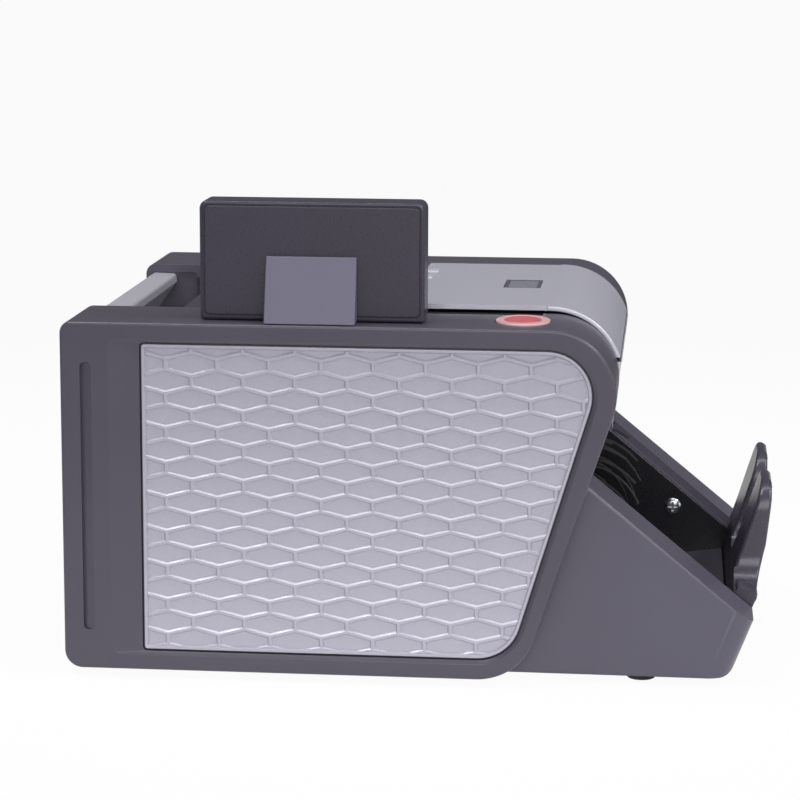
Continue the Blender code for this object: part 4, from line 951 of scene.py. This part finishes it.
round_edges(bm, 1.8, 4, pick=lambda e: all(v not in front and v.co.z > 0.046 for v in e.verts),
            sharper_than=50.0)
round_edges(bm, 1.6, 4, pick=lambda e: all(v in front for v in e.verts), sharper_than=50.0)
stop = new_object(bm, "dressed_stop_plate")
wall = slab("across", [(326.5, 0), (331.0, 0), (344.3, 33.6), (334.0, 38.0)], [0, 1.5, 2.0, 2.0],
            -86.7, 86.7)
carve(stop, wall, "UNION")
finish(stop, finger_abs, "dark", stands_for=("stop_plate",))

# %% [markdown]
# ## Bladed wheels
#
# The two stacker wheels are moulded in soft rubber. Each has a hub and two rings of thin blades, the
# second half a step behind the first, all swept back from the direction the wheel turns in. A note
# slides into a gap between two blades and is laid down as the wheel goes round. One blade is a strip
# of a grid, bent by a formula and thickened, and spin repeats it round the shaft.

# %% Bladed wheels
WHEEL_AXIS = (236.0, 66.0)
WHEEL_RADIUS = 47.0
BLADES = 12


def blade_ring(x, width, start):
    """One ring of blades round the shaft, from a start angle in degrees."""
    bm = bmesh.new()
    for v in bmesh.ops.create_grid(bm, x_segments=14, y_segments=1, size=0.5)["verts"]:
        share, across = v.co.x + 0.5, v.co.y
        reach = 9.5 + (WHEEL_RADIUS - 10.1) * share
        angle = math.radians(start - 74.0 * share ** 1.4)
        v.co = place(x + width * across, WHEEL_AXIS[0] + reach * math.cos(angle),
                     WHEEL_AXIS[1] + reach * math.sin(angle))
    bmesh.ops.solidify(bm, geom=bm.faces[:], thickness=0.8 * MM)
    bmesh.ops.spin(bm, geom=everything(bm), cent=place(x, *WHEEL_AXIS),
                   axis=(1, 0, 0), angle=2 * math.pi * (BLADES - 1) / BLADES, steps=BLADES - 1,
                   use_duplicate=True)
    return bm


def bladed_wheel(name, x):
    bm = blade_ring(x - 3.8, 5.8, 0.0)
    add_to(bm, blade_ring(x + 3.8, 5.8, 180.0 / BLADES))
    add_to(bm, turned([(-7, 4.3), (-7, 11.2), (-6.2, 12), (-1.2, 12), (-0.6, 11.2), (0.6, 11.2),
                       (1.2, 12), (6.2, 12), (7, 11.2), (7, 4.3)], place(x, *WHEEL_AXIS), steps=40,
                      closed=True))
    make(bm, f"dressed_{name}", blade_rubber, "rubber", body="stacker_rotor", stands_for=(name,))


bladed_wheel("stacker_wheel_left", -30.0)
bladed_wheel("stacker_wheel_right", 30.0)

# %% [markdown]
# ## Rollers, keys and knob
#
# The pickup and feed tyres are ribbed rubber rings pressed on steel shafts. The keys are five plain
# caps with rounded corners, and the knob that sets the feed gap has a knurled rim and a raised bar to
# show how far it is turned.

# %% Tyres


def tyre(name, axis, radius, x, body):
    """A rubber ring with four grooves round its tread."""
    section = [(-6.5, 4.3), (-6.5, radius - 1.2), (-5.9, radius - 0.2)]
    for groove in (-3.6, -1.2, 1.2, 3.6):
        section += [(groove - 0.5, radius), (groove - 0.3, radius - 0.8), (groove + 0.3, radius - 0.8),
                    (groove + 0.5, radius)]
    section += [(5.9, radius - 0.2), (6.5, radius - 1.2), (6.5, 4.3)]
    bm = turned(section, place(x, *axis), steps=56, closed=True)
    make(bm, f"dressed_{name}", roller_rubber, "rubber", body=body, stands_for=(name,))


PICKUP_AXIS, FEED_AXIS = (103.53, 106.32), (125.47, 81.13)
for name, side in SIDES.items():
    tyre(f"pickup_tyre_{name}", PICKUP_AXIS, 13.0, 22 * side, "pickup_roller")
    tyre(f"feed_tyre_{name}", FEED_AXIS, 19.0, 22 * side, "feed_roller")

# %% Keys and knob
for number, x in enumerate(KEY_PLACES, 1):
    cap = box("along", (x - 9, x + 9), (126.5, 135.5), 266.6, 270.94, radius=1.3)
    bevel(cap, edges_at(cap, y=REAR_Y - 270.94), 0.7, 4)
    flange = box("along", (x - 10.2, x + 10.2), (125.3, 136.7), 265.3, 266.7, radius=1.5)
    finish(new_object(add_to(cap, flange), f"dressed_key_{number}"), key_abs, "keys",
           body=f"key_{number}", stands_for=(f"key_{number}",))

KNOB = (151.0, 175.3)
rim = turned([(-22.0, 0), (-22.0, 2.5), (0, 2.5), (0, 8.6), (0.5, 9.0), (4.9, 9.0), (6.0, 8.1),
              (6.5, 6.6), (6.1, 5.8), (6.1, 0)], place(0, *KNOB), way="up", steps=72)
for v in rim.verts:
    spoke = Vector((v.co.x, v.co.y - (REAR_Y - KNOB[0]) * MM))
    if abs(spoke.length - 9.0 * MM) < 0.02 * MM:
        turn = round(math.degrees(math.atan2(spoke.y, spoke.x)) / 5.0)
        if turn % 3 == 0:
            v.co.xy -= spoke.normalized() * 0.8 * MM
knob_bm = add_to(rim, box("upright", (-0.8, 0.8), (KNOB[0] + 1.0, KNOB[0] + 6.0), KNOB[1] + 5.9,
                          KNOB[1] + 6.7))
make(knob_bm, "dressed_knob", black_abs, "black", body="knob", stands_for=("gap_knob",))

# %% [markdown]
# ## Rear panel
#
# The back carries what the shop never shows: the mains inlet, its rocker switch, a row of vents for
# the motor, and four screws. It is a sheet that turns forward under the bar. The holes are cut out of
# it one after another, as a punch would.

# %% Rear panel
PANEL = [(5.5, 2.8), (5.5, 118.0), (45.7, 118.0), (45.7, 115.5), (8.0, 115.5), (8.0, 2.8)]
panel = new_object(slab("across", PANEL, [0, 2.5, 0, 0, 0.8, 0], -SPAN_HALF, SPAN_HALF),
                   "dressed_rear_panel")
carve(panel, box("along", (30.7, 59.3), (16.7, 39.3), 0.0, 14.0, radius=1.0))
carve(panel, box("along", (5.4, 18.6), (18.4, 37.6), 0.0, 14.0, radius=0.6))
vents = bmesh.new()
for i in range(11):
    add_to(vents, box("along", (-72.0 + 6.5 * i, -69.0 + 6.5 * i), (60.0, 92.0), 0.0, 14.0, radius=1.4))
carve(panel, vents)
finish(panel, cover_abs, "cover", stands_for=("rear_panel",))

bezel = new_object(round_edges(box("along", (2.8, 21.2), (15.8, 40.2), 4.6, 16.0, radius=1.2), 0.4, 2),
                   "switch_bezel")
carve(bezel, box("along", (5.6, 18.4), (18.6, 37.4), 2.0, 14.4, radius=0.4))
finish(bezel, black_abs, "black")

socket = new_object(round_edges(box("along", (28.0, 62.0), (14.0, 42.0), 3.9, 5.3, radius=2.5), 0.4, 2),
                    "dressed_inlet")
carve(socket, box("along", (31.3, 58.7), (17.3, 38.7), 5.0, 27.0, radius=0.6), "UNION")
cavity = [(33.8, 19.8), (56.2, 19.8), (56.2, 31.0), (51.0, 36.2), (39.0, 36.2), (33.8, 31.0)]
carve(socket, slab("along", cavity, [1.0] * 6, 0.0, 24.0))
finish(socket, black_abs, "black", stands_for=("power_inlet",))
pins = bmesh.new()
for x, h in ((38, 26), (45, 30), (52, 26)):
    add_to(pins, round_edges(box("along", (x - 1, x + 1), (h - 2, h + 2), 14.0, 24.5), 0.3, 2))
make(pins, "inlet_pins", zinc_steel, "steel")

PANEL_SCREWS = ((-76, 12), (76, 12), (-76, 106), (76, 106))
heads = bmesh.new()
for x, h in PANEL_SCREWS:
    add_to(heads, turned([(-0.2, 0), (-0.2, 3.4), (-1.0, 3.2), (-1.9, 1.9), (-2.1, 0)],
                         place(x, 5.6, h), way="back", steps=28))
for v in heads.verts:
    v.co.y = 2 * (REAR_Y - 5.6) * MM - v.co.y
panel_screws = new_object(heads, "panel_screws")
for spot in PANEL_SCREWS:
    cross_recess(panel_screws, "along", spot, 1.9, 0.45, 2.0, 4.5)
finish(panel_screws, zinc_steel, "steel")

# %% [markdown]
# ## Hopper floor
#
# Notes slide down the hopper's floor on low ribs, which keep them from clinging to the plastic. The
# ribs follow the slope between the pickup tyres and stay clear of the two sliding guides. Each is a
# thin slab with round ends.

# %% Hopper ribs
HOPPER_TOP = Vector((46.0, 170.0))
SLOPE = math.radians(40.0)


def on_slope(along, off):
    """A point on the hopper floor: how far down the slope, and how far off its face."""
    down, out = Vector((math.cos(SLOPE), -math.sin(SLOPE))), Vector((math.sin(SLOPE), math.cos(SLOPE)))
    return tuple(HOPPER_TOP + down * along + out * off)


floor_ribs = bmesh.new()
for x in (-54, -46, -38, -8, 0, 8, 38, 46, 54):
    line = [on_slope(5, -0.4), on_slope(96, -0.4), on_slope(96, 0.7), on_slope(5, 0.7)]
    add_to(floor_ribs, round_edges(slab("across", line, [0, 0, 0.6, 0.6], x - 0.9, x + 0.9), 0.3, 2))
make(floor_ribs, "hopper_ribs", hopper_abs, "dark")

# %% [markdown]
# ## The frame's own pieces
#
# Shafts, plates, pulleys, belts, boards, feet and the like already have their full shape in the
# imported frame. They keep it, and only take a real material in their slots: folded sheet parts are
# powder coated, turned ones are plated, belts and feet are rubber.

# %% Materials for the frame's own pieces
FRAME_FINISHES = (
    (coated_sheet, ("base_plate", "bearing_plate_left", "bearing_plate_right", "chute_plate")),
    (zinc_steel, ("display_pin", "pickup_shaft", "feed_shaft", "stacker_shaft")),
    (motor_steel, ("drive_motor",)),
    (core_steel, ("transformer",)),
    (board_green, ("control_board", "main_board")),
    (black_abs, ("feed_pulley", "motor_pulley", "stacker_pulley", "sensor_bar", "note_guide_left",
                 "note_guide_right", "rocker_switch")),
    (belt_rubber, ("motor_belt", "pickup_belt", "stacker_belt")),
    (roller_rubber, ("foot_front_left", "foot_front_right", "foot_rear_left", "foot_rear_right",
                     "retard_block")),
    (hopper_abs, ("hopper_plate", "front_guide", "stacker_bed")),
)
for material, names in FRAME_FINISHES:
    for name in names:
        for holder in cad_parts[name].material_slots:
            holder.material = material
print(sum(len(names) for _, names in FRAME_FINISHES), "frame pieces have their material")

# %% [markdown]
# ## Studio
#
# The machine stands on a wide sheet of white paper. A large soft box beside the camera gives the plain
# light. Narrow ones, above and behind, above and in front, overhead, and low at both ends, stand where
# a bevel or a ridge mirrors them to the camera: they draw the bright lines on the edges. The world is
# brighter on the camera's side, so upright faces are lighter than the tops, as in the photograph.
#
# White must come from the background and not from more light. So the paper and the world show plain
# white to camera and transmission rays, and a share of it to mirror rays, which is full close to the
# machine and fades with distance. The rest of the paper's shade keeps the machine's soft shadow. The
# paper's own colour runs from pale grey near the machine to dark grey a metre out: painted shade of a
# dim studio, which the machine's tops mirror.

# %% Floor and world


def show_white(tree, kind, shaded, target, seen_share, mirror_share):
    """Mix a shader with plain white, by how the ray has come."""
    def maths(operation, a, b):
        return node(tree, "ShaderNodeMath", {0: a, 1: b}, operation=operation).outputs[0]

    path = node(tree, "ShaderNodeLightPath").outputs
    seen = maths("MAXIMUM", path["Is Camera Ray"], path["Is Transmission Ray"])
    share = maths("MAXIMUM", maths("MULTIPLY", seen, seen_share),
                  maths("MULTIPLY", path["Is Glossy Ray"], mirror_share))
    white = node(tree, kind, {"Color": (1, 1, 1, 1), "Strength": 1.0})
    mix = node(tree, "ShaderNodeMixShader", {0: share, 1: shaded, 2: white.outputs[0]})
    tree.links.new(mix.outputs[0], target)


floor_bm = bmesh.new()
bmesh.ops.create_grid(floor_bm, x_segments=1, y_segments=1, size=40.0)
floor = new_object(floor_bm, "floor")
paper, tree, shader, spot = new_material("matt paper sheet, painted shade far out")
away = node(tree, "ShaderNodeVectorMath", {0: spot}, operation="LENGTH").outputs["Value"]
# The paper's colour darkens with distance from the machine: painted shade of a dim studio.
fade = spread(tree, away, 0.9, 0.04, 0.25, 1.1)
wire(tree, shader, {"Base Color": blend(tree, fade, linear("4a4a4c"), linear("f2f2f2")),
                    "Roughness": 0.9})
show_white(tree, "ShaderNodeEmission", shader.outputs[0], tree.nodes["Material Output"].inputs["Surface"],
           0.95, fade)
floor.data.materials.append(paper)

world = bpy.data.worlds.new("studio")
world.use_nodes = True
bpy.context.scene.world = world
tree = world.node_tree
way = node(tree, "ShaderNodeTexCoord").outputs["Generated"]
facing = node(tree, "ShaderNodeVectorMath", {0: way, 1: (-0.9, -0.3, -0.45)}, operation="DOT_PRODUCT")
level = spread(tree, facing.outputs["Value"], 0.08, 0.55, -0.8, 1.0)
backdrop = wire(tree, tree.nodes["Background"], {"Color": linear("e8e8ee"), "Strength": level})
show_white(tree, "ShaderNodeBackground", backdrop.outputs[0], tree.nodes["World Output"].inputs["Surface"],
           1.0, 0.06)
print("paper is", round(2 * max(v.co.x for v in floor.data.vertices)), "m wide")

# %% Lamps


def softbox(name, spot, size, radiance, target=(0.0, 0.0, 0.1), mirrored=True):
    """A soft box by its size and by how bright its cloth is: power is brightness times area times pi."""
    lamp = bpy.data.lights.new(name, "AREA")
    lamp.shape = "RECTANGLE"
    lamp.size, lamp.size_y = size
    lamp.energy = radiance * size[0] * size[1] * math.pi
    holder = bpy.data.objects.new(name, lamp)
    bpy.context.scene.collection.objects.link(holder)
    holder.location = spot
    holder.rotation_euler = (Vector(target) - Vector(spot)).to_track_quat("-Z", "Y").to_euler()
    holder.visible_glossy = mirrored
    print(name, round(lamp.energy, 1), "W")


softbox("side box", (-2.3, -0.5, 0.9), (2.0, 1.2), 3.4)
softbox("rear edge box", (-0.3, 0.80, 1.85), (0.9, 0.22), 22.0)
softbox("front edge box", (-0.44, -1.43, 1.63), (1.1, 0.26), 20.0)
softbox("overhead box", (-0.35, -0.1, 1.95), (1.4, 0.2), 9.0)
softbox("rear box", (0.2, 2.3, 0.35), (0.8, 0.7), 2.6)
softbox("front box", (-0.2, -2.3, 0.35), (0.8, 0.7), 2.6)
softbox("far fill box", (1.8, 0.6, 0.8), (1.5, 1.0), 1.8, mirrored=False)
bpy.context.scene.view_settings.view_transform = "Standard"
